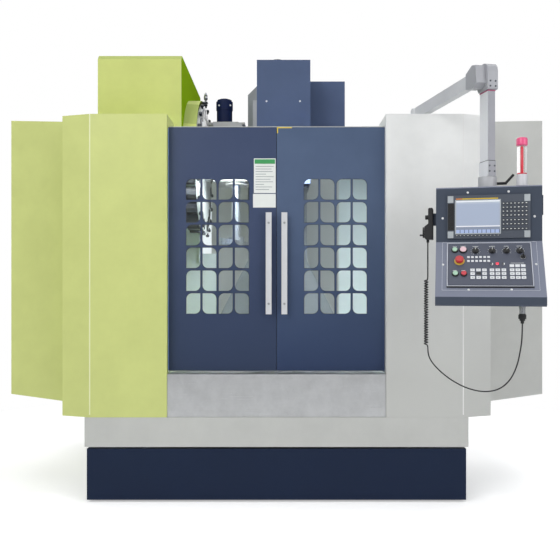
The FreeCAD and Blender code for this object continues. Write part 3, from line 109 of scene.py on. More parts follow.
def area_light(name, place, target, wide, high, watts):
    """A soft rectangular lamp that looks at a point."""
    data = bpy.data.lights.new(name, "AREA")
    data.shape = "RECTANGLE"
    data.size, data.size_y = wide, high
    data.energy = watts
    lamp = bpy.data.objects.new(name, data)
    bpy.context.collection.objects.link(lamp)
    lamp.location = place
    lamp.rotation_euler = (Vector(target) - Vector(place)).to_track_quat("-Z", "Y").to_euler()


scene = bpy.context.scene
scene.view_settings.view_transform = "Standard"
camera = bpy.data.objects.new("camera", bpy.data.cameras.new("camera"))
bpy.context.collection.objects.link(camera)
camera.location = (0.020, -4.700, 1.268)
camera.rotation_euler = (math.pi / 2, 0, 0)
camera.data.lens, camera.data.sensor_width = 45.13, 36
camera.data.clip_end = 200
scene.camera = camera

world = bpy.data.worlds.new("surround")
scene.world = world
world.use_nodes = True
tree = world.node_tree
tree.nodes.clear()
rays = node(tree, "LightPath")
seen = maths(tree, "MAXIMUM", rays.outputs["Is Camera Ray"], rays.outputs["Is Transmission Ray"])
coords = node(tree, "TexCoord")
height = node(tree, "SeparateXYZ", {0: coords.outputs["Generated"]})
ramp = node(tree, "ValToRGB", {0: ranged(tree, height.outputs[2], -0.2, 0.7)})
ramp.color_ramp.elements[0].color = (0.42, 0.43, 0.45, 1)
ramp.color_ramp.elements[1].color = (0.95, 0.97, 1.0, 1)
soft = node(tree, "Background", {0: ramp.outputs[0], 1: 0.50})
white = node(tree, "Background", {0: (1, 1, 1, 1), 1: 1.0})
mixed = node(tree, "MixShader", {0: seen, 1: soft.outputs[0], 2: white.outputs[0]})
tree.links.new(mixed.outputs[0], node(tree, "OutputWorld").inputs[0])

bpy.ops.mesh.primitive_plane_add(size=30, location=(0, 0, -0.0005))
floor = bpy.context.object
floor.name = "floor"
material, tree, shader = new_material("pale_floor")
shader.inputs["Base Color"].default_value = (0.93, 0.93, 0.93, 1)
shader.inputs["Roughness"].default_value = 0.6
rays = node(tree, "LightPath")
away = vectors(tree, "DISTANCE", node(tree, "NewGeometry").outputs["Position"], (0, -0.3, 0))
glow = node(tree, "Emission", {0: (1, 1, 1, 1), 1: 1.0})
far = maths(tree, "MULTIPLY", ranged(tree, away, 2.0, 3.6), rays.outputs["Is Camera Ray"])
shown = maths(tree, "MULTIPLY", rays.outputs["Is Camera Ray"], 0.42)
lift = node(tree, "Emission", {0: (1, 1, 1, 1), 1: shown})
near = node(tree, "AddShader", {0: shader.outputs[0], 1: lift.outputs[0]})
mixed = node(tree, "MixShader", {0: far, 1: near.outputs[0], 2: glow.outputs[0]})
tree.links.new(mixed.outputs[0], tree.nodes["Material Output"].inputs[0])
floor.data.materials.append(material)

area_light("key", (-3.6, -6.5, 5.2), (0, -0.4, 1.1), 4.0, 3.0, 190)
area_light("fill", (4.6, -5.6, 3.0), (0.3, -0.4, 1.2), 3.2, 3.2, 95)
area_light("overhead", (0.2, -0.6, 6.4), (0, 0.1, 1.0), 5.5, 4.5, 120)
area_light("rear", (1.5, 6.0, 4.5), (0, 1.0, 1.2), 4.0, 3.0, 150)


# ---------------------------------------------------------------- machine_bed
# The broad cast plinth that carries everything: very dark navy enamel with a cast grain,
# chipped a little along its edges and dusty on its upper faces.

def blend(tree, share, first, second):
    """The socket with a mix of two colours."""
    return node(tree, "Mix", {0: share, 6: first, 7: second}, data_type="RGBA").outputs[2]


def surface_group():
    """Shared finish: fine grain, smudged gloss, worn edges and dust on upper faces."""
    group = bpy.data.node_groups.new("aged_surface", "ShaderNodeTree")
    face = group.interface
    for name, kind, value in (("Colour", "NodeSocketColor", (0.5, 0.5, 0.5, 1)),
                              ("Edge Colour", "NodeSocketColor", (0.6, 0.6, 0.6, 1)),
                              ("Roughness", "NodeSocketFloat", 0.4), ("Grain", "NodeSocketFloat", 600),
                              ("Depth", "NodeSocketFloat", 0.0001), ("Wear", "NodeSocketFloat", 0.3),
                              ("Dust", "NodeSocketFloat", 0.2)):
        socket = face.new_socket(name, in_out="INPUT", socket_type=kind)
        socket.default_value = value
    face.new_socket("Colour", in_out="OUTPUT", socket_type="NodeSocketColor")
    face.new_socket("Roughness", in_out="OUTPUT", socket_type="NodeSocketFloat")
    face.new_socket("Normal", in_out="OUTPUT", socket_type="NodeSocketVector")
    given = group.nodes.new("NodeGroupInput").outputs
    coords = node(group, "TexCoord").outputs["Object"]
    grain = node(group, "TexNoise", {"Vector": coords, "Scale": given["Grain"], "Detail": 2.0})
    smudge = node(group, "TexNoise", {"Vector": coords, "Scale": 5.0, "Detail": 6.0, "Roughness": 0.62})
    bump = node(group, "Bump", {"Height": grain.outputs[0], "Distance": given["Depth"], "Strength": 1.0})
    swing = ranged(group, smudge.outputs[0], 0.3, 0.7, -0.07, 0.09)
    rough = maths(group, "ADD", given["Roughness"], swing)
    shade = ranged(group, smudge.outputs[0], 0.3, 0.7, 0.95, 1.04)
    toned = vectors(group, "MULTIPLY", given["Colour"], shade)
    facing = node(group, "NewGeometry")
    bevel = node(group, "Bevel", {"Radius": 0.0018}, samples=4)
    match = vectors(group, "DOT_PRODUCT", bevel.outputs[0], facing.outputs["Normal"])
    chips = node(group, "TexNoise", {"Vector": coords, "Scale": 90.0, "Detail": 4.0})
    edge = ranged(group, match, 0.995, 0.86)
    worn = maths(group, "MULTIPLY", edge, ranged(group, chips.outputs[0], 0.5, 0.62))
    worn = maths(group, "MULTIPLY", worn, given["Wear"], use_clamp=True)
    colour = blend(group, worn, toned, given["Edge Colour"])
    up = node(group, "SeparateXYZ", {0: facing.outputs["Normal"]})
    dust = maths(group, "MULTIPLY", ranged(group, up.outputs[2], 0.5, 1.0), given["Dust"])
    dust = maths(group, "MULTIPLY", dust, smudge.outputs[0])
    colour = blend(group, dust, colour, (0.5, 0.5, 0.47, 1))
    rough = maths(group, "ADD", rough, dust, use_clamp=True)
    out = group.nodes.new("NodeGroupOutput").inputs
    group.links.new(colour, out["Colour"])
    group.links.new(rough, out["Roughness"])
    group.links.new(bump.outputs[0], out["Normal"])
    return group


AGED = surface_group()


def finish(name, colour, rough, metal=0.0, grain=600.0, depth=0.0001, wear=0.3, dust=0.25,
           edge="#9A9C9E", **sockets):
    """A material with the shared finish; sockets are further inputs of its shader."""
    material, tree, shader = new_material(name)
    group = tree.nodes.new("ShaderNodeGroup")
    group.node_tree = AGED
    for key, value in (("Colour", tint(colour)), ("Edge Colour", tint(edge)), ("Roughness", rough),
                       ("Grain", grain), ("Depth", depth), ("Wear", wear), ("Dust", dust)):
        group.inputs[key].default_value = value
    for key, socket in (("Colour", "Base Color"), ("Roughness", "Roughness"), ("Normal", "Normal")):
        tree.links.new(group.outputs[key], shader.inputs[socket])
    shader.inputs["Metallic"].default_value = metal
    for key, value in sockets.items():
        shader.inputs[key.replace("_", " ")].default_value = value
    return material


def dress(material, *names):
    """Gives CAD nodes their material."""
    for name in names:
        obj = nodes[name]
        obj.data.materials.clear()
        obj.data.materials.append(material)


plinth_enamel = finish("plinth_enamel", "#1D2941", 0.5, grain=220, depth=0.0003, wear=0.3, dust=0.2,
                       Specular_IOR_Level=0.15)
dress(plinth_enamel, "machine_bed")


# ---------------------------------------------------------------- lower_skirt
# Light grey powder coat on folded sheet, brighter along the folded top edge.

grey_coat = finish("grey_coat", "#C3C4C0", 0.45, grain=900, depth=0.00006, wear=0.15, edge="#E4E4E2")
dress(grey_coat, "lower_skirt")


# ---------------------------------------------------------------- front_apron
# Brushed stainless sheet: long horizontal scratches and the cloudy mottling of cold rolling.

def brushed(name, colour, rough, along=(3, 500, 500), metal=1.0, mottle=0.1):
    """Brushed metal whose scratches run along the axis that has the small scale."""
    material, tree, shader = new_material(name)
    coords = node(tree, "TexCoord").outputs["Object"]
    lined = node(tree, "Mapping", {"Vector": coords, "Scale": along})
    lines = node(tree, "TexNoise", {"Vector": lined.outputs[0], "Scale": 1.0, "Detail": 3.0})
    cloud = node(tree, "TexNoise", {"Vector": coords, "Scale": 9.0, "Detail": 8.0, "Roughness": 0.7})
    mix = ranged(tree, cloud.outputs[0], 0.3, 0.7, 1 - mottle, 1 + mottle)
    base = vectors(tree, "MULTIPLY", tint(colour)[:3], mix)
    spread = ranged(tree, lines.outputs[0], 0.3, 0.7, rough - 0.08, rough + 0.1)
    bump = node(tree, "Bump", {"Height": lines.outputs[0], "Distance": 0.00003, "Strength": 1.0})
    tree.links.new(base, shader.inputs["Base Color"])
    tree.links.new(spread, shader.inputs["Roughness"])
    tree.links.new(bump.outputs[0], shader.inputs["Normal"])
    shader.inputs["Metallic"].default_value = metal
    shader.inputs["Anisotropic"].default_value = 0.5
    return material


stainless = brushed("brushed_stainless", "#C9CACB", 0.34)
dress(stainless, "front_apron")


# ---------------------------------------------------------------- enclosure colours
# The left cover and the hood are lime, the right cover grey, the doors navy. Painted light:
# painted highlights down the covers' folds, a lighter upper part on the right cover, and doors
# lighter at the top and darker towards the floor, the left one darker than the right.

def copied(name, material):
    """A copy of a material, its node tree, its shader and the socket that gives its colour."""
    copy = material.copy()
    copy.name = name
    shader = copy.node_tree.nodes["Principled BSDF"]
    return copy, copy.node_tree, shader, shader.inputs["Base Color"].links[0].from_socket


def recoloured(name, material, regions):
    """A copy of a material with another colour and metal share inside some boxes."""
    copy, tree, shader, colour = copied(name, material)
    coords = node(tree, "TexCoord").outputs["Object"]
    metal = shader.inputs["Metallic"].default_value
    for low, high, code, share in regions:
        middle = [(a + b) / 2 for a, b in zip(low, high)]
        half = [(b - a) / 2 for a, b in zip(low, high)]
        away = vectors(tree, "ABSOLUTE", vectors(tree, "SUBTRACT", coords, middle))
        parts = node(tree, "SeparateXYZ", {0: vectors(tree, "SUBTRACT", away, half)})
        most = maths(tree, "MAXIMUM", parts.outputs[0], parts.outputs[1])
        most = maths(tree, "MAXIMUM", most, parts.outputs[2])
        inside = maths(tree, "LESS_THAN", most, 0.0)
        colour = blend(tree, inside, colour, tint(code))
        metal = node(tree, "Mix", {0: inside, 2: metal, 3: share}, data_type="FLOAT").outputs[0]
    tree.links.new(colour, shader.inputs["Base Color"])
    tree.links.new(metal, shader.inputs["Metallic"])
    return copy


def graded(name, material, low, high, code):
    """A copy of a material that turns to another colour from one height down to a lower one."""
    copy, tree, shader, colour = copied(name, material)
    z = node(tree, "SeparateXYZ", {0: node(tree, "TexCoord").outputs["Object"]}).outputs[2]
    tree.links.new(blend(tree, ranged(tree, z, high, low), colour, tint(code)), shader.inputs["Base Color"])
    return copy


lime_coat = finish("lime_coat", "#CDD584", 0.42, grain=900, depth=0.00006, wear=0.12, edge="#E6E9C8")
navy_coat = finish("navy_coat", "#515F7D", 0.34, grain=900, depth=0.00004, wear=0.1, edge="#8A96AA",
                   Specular_IOR_Level=0.25)
pale_enamel = finish("pale_enamel", "#D3DCDB", 0.4, grain=500, depth=0.0001, wear=0.2)
cast_enamel = finish("cast_enamel", "#8D9295", 0.5, grain=160, depth=0.0006, wear=0.5)
ground_steel = brushed("ground_steel", "#B9BBBE", 0.3, (400, 400, 4))
aluminium = finish("anodised_aluminium", "#D6D7DA", 0.4, 0.15, grain=1400, depth=0.00002, wear=0.1)
slate_coat = finish("slate_coat", "#474F60", 0.5, grain=1100, depth=0.00008, wear=0.15,
                    Specular_IOR_Level=0.25)
black_plastic = finish("black_plastic", "#1B1B1D", 0.5, grain=1600, depth=0.00005, wear=0.1, edge="#4A4A4C")
dress(lime_coat, "side_cover_left")
dress(grey_coat, "side_cover_right", "door_header", "electrical_cabinet", "cabinet_door")
dress(navy_coat, "head_cover")
# Painted highlight: a lighter strip down the fold of each front cover, where the fold catches the light.
dress(recoloured("lime_fold_highlight", lime_coat, [((-1.068, -0.9, 0.5), (-1.0615, -0.6, 2.26), "#E8ECC0", 0.0)]),
      "front_cover_left")
# Painted light on the right front cover: lighter towards its top, grading down to the grey coat, with a
# painted highlight down its fold.
painted_lit_grey = finish("painted_lit_grey", "#EDEEEC", 0.5, grain=900, depth=0.00006, wear=0.15, edge="#F0F0EE")
dress(recoloured("grey_fold_highlight", graded("grey_with_painted_light", painted_lit_grey, 0.7, 2.0, "#C3C4C0"),
                 [((1.0615, -0.9, 0.5), (1.068, -0.6, 2.26), "#ECECEA", 0.0)]), "front_cover_right")
# Painted light and shade on the one navy paint of both doors: lighter at the top, darker towards the floor,
# and the left door darker than the right.
for side, lit_top_code, shaded_foot_code in (("left", "#424E6B", "#303D58"), ("right", "#53637F", "#2E3E5F")):
    coat = finish("navy_" + side, lit_top_code, 0.34, grain=900, depth=0.00004, wear=0.1, edge="#8A96AA",
                  Specular_IOR_Level=0.25)
    dress(graded("shaded_navy_" + side, coat, 0.75, 1.6, shaded_foot_code), "door_" + side)
dress(finish("motor_coat", "#18244A", 0.5, grain=900, depth=0.00004, wear=0.1, Specular_IOR_Level=0.2),
      "changer_motor")
dress(finish("case_enamel", "#AFAEA9", 0.6, grain=160, depth=0.0003, wear=0.3, Specular_IOR_Level=0.2),
      "changer_case")
dress(pale_enamel, "inner_panels")
dress(cast_enamel, "saddle", "table", "column", "head_casting")
dress(ground_steel, "spindle", "x_drive", "yz_drives", "changer_arm", "cord_gland")
dress(aluminium, "arm_pivot", "arm_tube")
dress(black_plastic, "clamp_lever", "key_switch", "rotary_switch_1", "rotary_switch_2", "rotary_switch_3",
      "rotary_switch_4", "pendant", "pendant_wheel", "pendant_knob", "cord_plug", "change_pot")


# ---------------------------------------------------------------- door_left, door_right
# Navy sliding doors: rubber round each leaf-shaped window, a ruled and a blank sheet on the left
# door, blue film on its outer edge, a seal in the closing gap and a corner of yellow tape.

def shape(name, build, material, body, bevel=0.0, smooth=True):
    """A mesh piece from a function that fills a bmesh; it rides on a body."""
    mesh = bpy.data.meshes.new(name)
    bm = bmesh.new()
    build(bm)
    bm.normal_update()
    bm.to_mesh(mesh)
    bm.free()
    obj = bpy.data.objects.new(name, mesh)
    bpy.context.collection.objects.link(obj)
    mesh.materials.append(material)
    if bevel:
        rounding = obj.modifiers.new("edges", "BEVEL")
        rounding.width, rounding.segments, rounding.limit_method = bevel, 2, "ANGLE"
    if smooth:
        mesh.shade_smooth()
        obj.modifiers.new("shading", "WEIGHTED_NORMAL").keep_sharp = True
    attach(obj, body)
    return obj


def add_box(bm, low, high, matrix=Matrix()):
    """Adds a box between two corners."""
    size = Vector(high) - Vector(low)
    centre = (Vector(high) + Vector(low)) / 2
    bmesh.ops.create_cube(bm, size=1.0, matrix=matrix @ Matrix.Translation(centre)
                          @ Matrix.Diagonal((*size, 1)))


def add_rod(bm, start, end, radius, end_radius=None, sides=32, matrix=Matrix()):
    """Adds a rod or cone between two points."""
    a, b = matrix @ Vector(start), matrix @ Vector(end)
    turn = (b - a).to_track_quat("Z", "Y").to_matrix().to_4x4()
    bmesh.ops.create_cone(bm, cap_ends=True, segments=sides, radius1=radius,
                          radius2=radius if end_radius is None else end_radius, depth=(b - a).length,
                          matrix=Matrix.Translation((a + b) / 2) @ turn)


def block(name, low, high, material, body, bevel=0.0, matrix=Matrix()):
    """One box as a piece."""
    return shape(name, lambda bm: add_box(bm, low, high, matrix), material, body, bevel)


def join_rings(bm, rings):
    """Adds the faces between each ring of points and the next one."""
    for first, second in zip(rings, rings[1:]):
        for i in range(len(first)):
            j = (i + 1) % len(first)
            bm.faces.new((first[i], first[j], second[j], second[i]))


LEAF_HALF_X, LEAF_HALF_Z, LEAF_ROUND = 0.0425, 0.061, 0.034


def leaf_outline(side, grow=0.0):
    """Outline of a window leaf about its centre: two opposite corners round, two pointed."""
    half_x, half_z, round_x = LEAF_HALF_X + grow, LEAF_HALF_Z + grow, LEAF_ROUND + grow
    points = []
    for corner_x, corner_z, soft in ((1, 1, side < 0), (-1, 1, side > 0), (-1, -1, side < 0),
                                     (1, -1, side > 0)):
        if not soft:
            points.append((corner_x * half_x, corner_z * half_z))
            continue
        first = math.atan2(corner_z, corner_x) - math.pi / 4
        for step in range(9):
            angle = first + step * math.pi / 16
            points.append((corner_x * (half_x - round_x) + round_x * math.cos(angle),
                           corner_z * (half_z - round_x) + round_x * math.sin(angle)))
    return points


def add_leaf_ring(bm, x, z, side, y_front, y_back, wide):
    """Adds a thin rubber ring that lines one window leaf."""
    rings = []
    for grow, y in ((0, y_front), (-wide, y_front), (-wide, y_back), (0, y_back)):
        rings.append([bm.verts.new((x + px, y, z + pz)) for px, pz in leaf_outline(side, grow)])
    join_rings(bm, rings + rings[:1])


def fine(name, colour, rough, depth=0.00001, wear=0.0, **sockets):
    """A very fine finish with hardly a worn edge, as on paper, ink, film and mouldings."""
    return finish(name, colour, rough, grain=1500, depth=depth, wear=wear, **sockets)


gasket_rubber = finish("gasket_rubber", "#2A2D33", 0.6, grain=1800, depth=0.00004, wear=0.0)
PANE_LOW, LEAF_PITCH_X, LEAF_PITCH_Z = 1.071, 0.0936, 0.132
for start, name in ((-0.5238, "left"), (0.158, "right")):
    def gaskets(bm):
        for column in range(4):
            for row in range(6):
                add_leaf_ring(bm, start + LEAF_HALF_X + LEAF_PITCH_X * column,
                              PANE_LOW + LEAF_HALF_Z + LEAF_PITCH_Z * row,
                              1 if column % 2 == 0 else -1, -0.6404, -0.6376, 0.0022)
    shape("window_gaskets_" + name, gaskets, gasket_rubber, name + "_door")

paper = fine("notice_paper", "#E9ECE8", 0.55, depth=0.00002)
green_ink = fine("green_ink", "#3E9C5A", 0.5)
grey_ink = fine("grey_ink", "#8D9398", 0.5)
black_ink = fine("black_ink", "#25272A", 0.5)
yellow_film = fine("yellow_film", "#E3C93B", 0.45, wear=0.1)
blue_film = fine("blue_film", "#3F6FD0", 0.4)
DOOR_FACE = -0.640
block("notice_sheet", (-0.131, DOOR_FACE - 0.0006, 1.771), (-0.005, DOOR_FACE, 1.971), paper, "left_door")
block("notice_header", (-0.127, DOOR_FACE - 0.0009, 1.940), (-0.009, DOOR_FACE - 0.0005, 1.966), green_ink,
      "left_door")


def notice_lines(bm):
    widths = [0.104, 0.092, 0.098, 0.060, 0.104, 0.086, 0.100, 0.048, 0.096, 0.078]
    for i, wide in enumerate(widths):
        z = 1.926 - 0.0148 * i
        add_box(bm, (-0.121, DOOR_FACE - 0.0009, z - 0.003), (-0.121 + wide, DOOR_FACE - 0.0005, z))


shape("notice_lines", notice_lines, grey_ink, "left_door", smooth=False)
block("blank_sheet", (-0.136, DOOR_FACE - 0.0006, 1.687), (-0.005, DOOR_FACE, 1.766), paper, "left_door")


def tape_corner(bm):
    add_box(bm, (0.003, DOOR_FACE - 0.0005, 2.146), (0.089, DOOR_FACE, 2.152))
    add_box(bm, (0.003, DOOR_FACE - 0.0005, 2.117), (0.009, DOOR_FACE, 2.146))


shape("tape_corner", tape_corner, yellow_film, "right_door", smooth=False)
block("closing_seal", (-0.0015, -0.634, 0.745), (0.0012, -0.614, 2.148), gasket_rubber, "left_door")
block("edge_film", (-0.629, DOOR_FACE - 0.0005, 0.748), (-0.6225, DOOR_FACE, 2.147), blue_film, "left_door")


# ---------------------------------------------------------------- door_handle_left, door_handle_right
# Pale metal bars, brushed along their length, each with two screws at its stand-offs.

handle_metal = brushed("handle_metal", "#E3E4E6", 0.38, (500, 500, 4), metal=0.35, mottle=0.02)
dress(handle_metal, "door_handle_left", "door_handle_right")
screw_steel = finish("screw_steel", "#B4B6B8", 0.3, 1.0, grain=2500, depth=0.00002, wear=0.0)


def add_cap_screw(bm, place, axis, radius, proud, matrix=Matrix()):
    """Adds a slightly tapered screw head that stands proud along an axis."""
    place, axis = Vector(place), Vector(axis).normalized()
    add_rod(bm, place, place + axis * proud, radius, radius * 0.94, 24, matrix)
    add_rod(bm, place + axis * proud, place + axis * (proud + 0.0002), radius * 0.94, radius * 0.94, 24,
            matrix)


for side, name in ((-1, "left"), (1, "right")):
    def handle_screws(bm):
        for z in (1.132, 1.595):
            add_cap_screw(bm, (side * 0.045, -0.690, z), (0, -1, 0), 0.0065, 0.0025)
    shape("handle_screws_" + name, handle_screws, screw_steel, name + "_door")


# ---------------------------------------------------------------- control_box
# Slate sheet box whose console slopes: dome-headed screws round the edge of its two faces.

def facing(name, material, looks):
    """A copy of a material with painted light: another colour on the faces that look along a direction."""
    copy, tree, shader, colour = copied(name, material)
    normal = node(tree, "VectorTransform", {0: node(tree, "NewGeometry").outputs["True Normal"]},
                  vector_type="NORMAL", convert_from="WORLD", convert_to="OBJECT").outputs[0]
    for direction, code in looks:
        near = maths(tree, "GREATER_THAN", vectors(tree, "DOT_PRODUCT", normal, direction), 0.97)
        colour = blend(tree, near, colour, tint(code))
    tree.links.new(colour, shader.inputs["Base Color"])
    return copy


def axis_of(matrix, axis=(0, 0, 1)):
    """The direction of one of a frame's axes in the machine's frame."""
    return (matrix.to_3x3() @ Vector(axis))[:]


POST_AXIS = Matrix.Translation((1.051, -1.210, 0))
panel = POST_AXIS @ Matrix.Rotation(math.radians(-13.95), 4, "Z")
FACE_V, SLOPE_TOP, SLOPE_RUN, SLOPE_RISE = -0.092, 1.454, 0.5697, 0.8219
face = panel @ Matrix(((1, 0, 0, 0), (0, 0, -1, FACE_V), (0, 1, 0, 0), (0, 0, 0, 1)))
slope = panel @ Matrix(((1, 0, 0, 0), (0, SLOPE_RUN, -SLOPE_RISE, FACE_V),
                        (0, SLOPE_RISE, SLOPE_RUN, SLOPE_TOP), (0, 0, 0, 1)))


def add_dome(bm, place, matrix, radius=0.0058, proud=0.0035):
    """Adds a dome-headed screw at a point of a face; the face looks along the matrix's z."""
    bmesh.ops.create_uvsphere(bm, u_segments=20, v_segments=10, radius=radius,
                              matrix=matrix @ Matrix.Translation((*place, 0))
                              @ Matrix.Diagonal((1, 1, proud / radius, 1)))


def panel_screws(bm):
    for place in ((-0.096, 1.694), (0.094, 1.694), (-0.215, 1.571), (0.212, 1.572)):
        add_dome(bm, place, face)
    for u, down in ((-0.212, 0.137), (0.211, 0.137), (-0.095, 0.282), (0.096, 0.280)):
        add_dome(bm, (u, -down), slope)


# Painted light on the box: its upright face a little darker, and its upward-sloping console much lighter, as
# light falls on them.
box_painted_light = facing("box_painted_light", slate_coat, [(axis_of(face), "#434B59"), (axis_of(slope), "#7D8292")])
dress(recoloured("box_and_collar", box_painted_light, [((1.0, -1.27, 1.7222), (1.10, -1.15, 1.779), "#C2C3C6", 0.1)]),
      "control_box")
# Pale screw heads; their whitish colour also paints the highlights that the domed heads catch.
white_screw = finish("white_screw", "#E4E5E6", 0.35, grain=2500, depth=0.00002, wear=0.0)
shape("panel_screws", panel_screws, white_screw, "panel")


# ---------------------------------------------------------------- screen_unit
# Dark moulded frame with pale corner tabs, a ribbed slot on the left, the lit screen with its
# row of soft keys, and square keys on the right.

def masked(name, first, second, frame, level):
    """A material that changes to another colour beyond a level over a face of the panel."""
    material = first.copy()
    material.name = name
    tree = material.node_tree
    group = next(n for n in tree.nodes if n.type == "GROUP")
    coords = node(tree, "TexCoord").outputs["Object"]
    normal = axis_of(frame)
    base = (frame @ Vector((0, 0, 0))).dot(Vector(normal))
    depth = vectors(tree, "DOT_PRODUCT", coords, normal)
    beyond = maths(tree, "GREATER_THAN", depth, base + level)
    mix = blend(tree, beyond, group.inputs["Colour"].default_value[:], tint(second))
    tree.links.new(mix, group.inputs["Colour"])
    return material


moulded = fine("moulded_slate", "#4C525D", 0.5, depth=0.00004, wear=0.05)
dress(masked("screen_frame", moulded, "#3A3F48", face, 0.0103), "screen_unit")
pale_plastic = fine("pale_plastic", "#AEB4B8", 0.5, depth=0.00004)
corner_tabs = [(-0.191, 1.645), (-0.191, 1.472), (0.165, 1.645), (0.165, 1.472)]


def tabs(bm):
    for u, z in corner_tabs:
        add_box(bm, (u, z, 0.0085), (u + 0.027, z + 0.033, 0.0112), face)


shape("screen_tabs", tabs, pale_plastic, "panel", 0.0012)


def slot_ribs(bm):
    add_box(bm, (-0.190, 1.510, 0.0095), (-0.160, 1.641, 0.0103), face)
    for i in range(16):
        add_box(bm, (-0.186, 1.515 + 0.008 * i, 0.0100), (-0.164, 1.518 + 0.008 * i, 0.0112), face)


shape("memory_slot", slot_ribs, black_plastic, "panel", smooth=False)
block("screen_surround", (-0.156, 1.491, 0.0090), (0.058, 1.658, 0.0104), pale_plastic, "panel", 0.0006, face)


def screen_material():
    """Lit screen: pale blue-grey page, header line, status line and a row of soft keys."""
    material, tree, shader = new_material("lit_screen")
    coords = node(tree, "TexCoord").outputs["Object"]
    across = vectors(tree, "DOT_PRODUCT", coords, axis_of(face, (1, 0, 0)))
    start = (face @ Vector((0, 0, 0))).dot(face.to_3x3() @ Vector((1, 0, 0)))
    u = ranged(tree, across, start - 0.151, start + 0.053)
    z = node(tree, "SeparateXYZ", {0: coords}).outputs[2]
    v = ranged(tree, z, 1.496, 1.653)
    page = node(tree, "ValToRGB", {0: v})
    page.color_ramp.interpolation = "CONSTANT"
    stops = [(0.0, "#A9B9DC"), (0.105, "#8B94A6"), (0.19, "#E9EAEF"), (0.225, "#A7B2C6"),
             (0.90, "#B3BCCB"), (0.955, "#E6E9EE")]
    elements = page.color_ramp.elements
    while len(elements) < len(stops):
        elements.new(0.5)
    for element, (place, code) in zip(elements, stops):
        element.position = place
        element.color = tint(code)
    cell = node(tree, "Math", {0: maths(tree, "MULTIPLY", u, 10.0)}, operation="FRACT")
    gap = maths(tree, "GREATER_THAN", cell.outputs[0], 0.84)
    keys = maths(tree, "MULTIPLY", gap, maths(tree, "LESS_THAN", v, 0.105))
    mix = blend(tree, keys, page.outputs[0], tint("#5E6C8C"))
    tree.links.new(mix, shader.inputs["Base Color"])
    tree.links.new(mix, shader.inputs["Emission Color"])
    shader.inputs["Emission Strength"].default_value = 0.12
    shader.inputs["Roughness"].default_value = 0.18
    return material


block("screen_glass", (-0.151, 1.496, 0.0100), (0.053, 1.653, 0.0107), screen_material(), "panel", 0, face)
yellow_trim = fine("yellow_trim", "#D9B92E", 0.4)
orange_trim = fine("orange_trim", "#D9822E", 0.4)
block("screen_strip", (-0.122, 1.6598, 0.0098), (0.045, 1.6650, 0.0106), yellow_trim, "panel", 0, face)
block("screen_strip_end", (-0.152, 1.6598, 0.0098), (-0.1225, 1.6650, 0.0106), orange_trim, "panel", 0, face)


def screen_marks(bm):
    for i in range(7):
        for row in (1.514, 1.537, 1.556, 1.579, 1.598, 1.617, 1.636):
            u = 0.070 + 0.0174 * i
            add_box(bm, (u - 0.0035, row - 0.001, 0.0124), (u + 0.0030, row + 0.0022, 0.0127), face)
    for i in range(12):
        u = -0.148 + 0.0176 * i
        add_box(bm, (u - 0.003, 1.4835, 0.0119), (u + 0.003, 1.4855, 0.0122), face)


shape("screen_key_marks", screen_marks, paper, "panel", smooth=False)


# ---------------------------------------------------------------- operator_plate
# Dark plate in a bright bevelled frame, with a black strip under its foot as painted shadow and
# a thin bright seam round the console as painted highlight. Its keys are white but for a few,
# and short plain bars mark its controls.

plate_coat = fine("plate_coat", "#4C5161", 0.5, depth=0.00004, wear=0.05)
dress(masked("plate_and_keys", plate_coat, "#E4E6E9", slope, 0.0084), "operator_plate")
frame_metal = finish("frame_metal", "#CACED8", 0.35, 0.4, grain=1400, depth=0.00002, wear=0.05)


def rim(name, corners, wide, proud, material, bevel):
    """A flat frame round a rectangle of the sloping face."""
    left, low, right, high = corners

    def bars(bm):
        for a, b in (((left, low), (right, low + wide)), ((left, high - wide), (right, high)),
                     ((left, low), (left + wide, high)), ((right - wide, low), (right, high))):
            add_box(bm, (*a, 0.0001), (*b, proud), slope)
    shape(name, bars, material, "panel", bevel)


rim("plate_frame", (-0.1945, -0.2660, 0.1955, -0.0095), 0.0050, 0.0064, frame_metal, 0.0015)
# Painted shadow: a black strip under the plate's foot, where the raised plate casts its shade.
rim("plate_foot_shadow", (-0.1945, -0.2705, 0.1955, -0.2662), 0.0040, 0.0070, black_plastic, 0)
# Painted highlight: a thin bright line round the console's plate, where its edge catches the light.
rim("console_edge_highlight", (-0.2165, -0.2850, 0.2200, -0.0030), 0.0014, 0.0005, frame_metal, 0)


def plate_marks(bm):
    for u, down, wide in ((-0.157, 0.036, 0.020), (-0.118, 0.034, 0.024), (-0.061, 0.036, 0.026),
                          (0.016, 0.036, 0.028), (0.081, 0.036, 0.022), (0.141, 0.036, 0.026),
                          (-0.158, 0.178, 0.018), (-0.118, 0.178, 0.018), (0.127, 0.136, 0.060)):
        add_box(bm, (u - wide / 2, -down, 0.0079), (u + wide / 2, 0.0018 - down, 0.0082), slope)
    for u, down, count, first, span in ((-0.061, 0.063, 12, 300, 300), (0.016, 0.064, 9, 240, 240),
                                        (0.081, 0.065, 9, 240, 240), (0.141, 0.065, 6, 225, 180)):
        for i in range(count):
            angle = math.radians(90 + span / 2 - span * i / (count - 1))
            spot = (u + 0.0205 * math.cos(angle), -down + 0.0205 * math.sin(angle), 0.0079)
            tick = Matrix.Translation(spot) @ Matrix.Rotation(angle, 4, "Z")
            add_box(bm, (-0.0022, -0.0006, 0), (0.0022, 0.0006, 0.0003), slope @ tick)


shape("plate_marks", plate_marks, paper, "panel", smooth=False)


def key_marks(bm):
    for columns in ((-0.076, -0.049, -0.022), (0.012, 0.038, 0.065), (0.102, 0.127, 0.152)):
        for u in columns:
            for v in (-0.176, -0.197, -0.219):
                add_box(bm, (u - 0.005, v - 0.0015, 0.0109), (u + 0.004, v + 0.0015, 0.0112), slope)


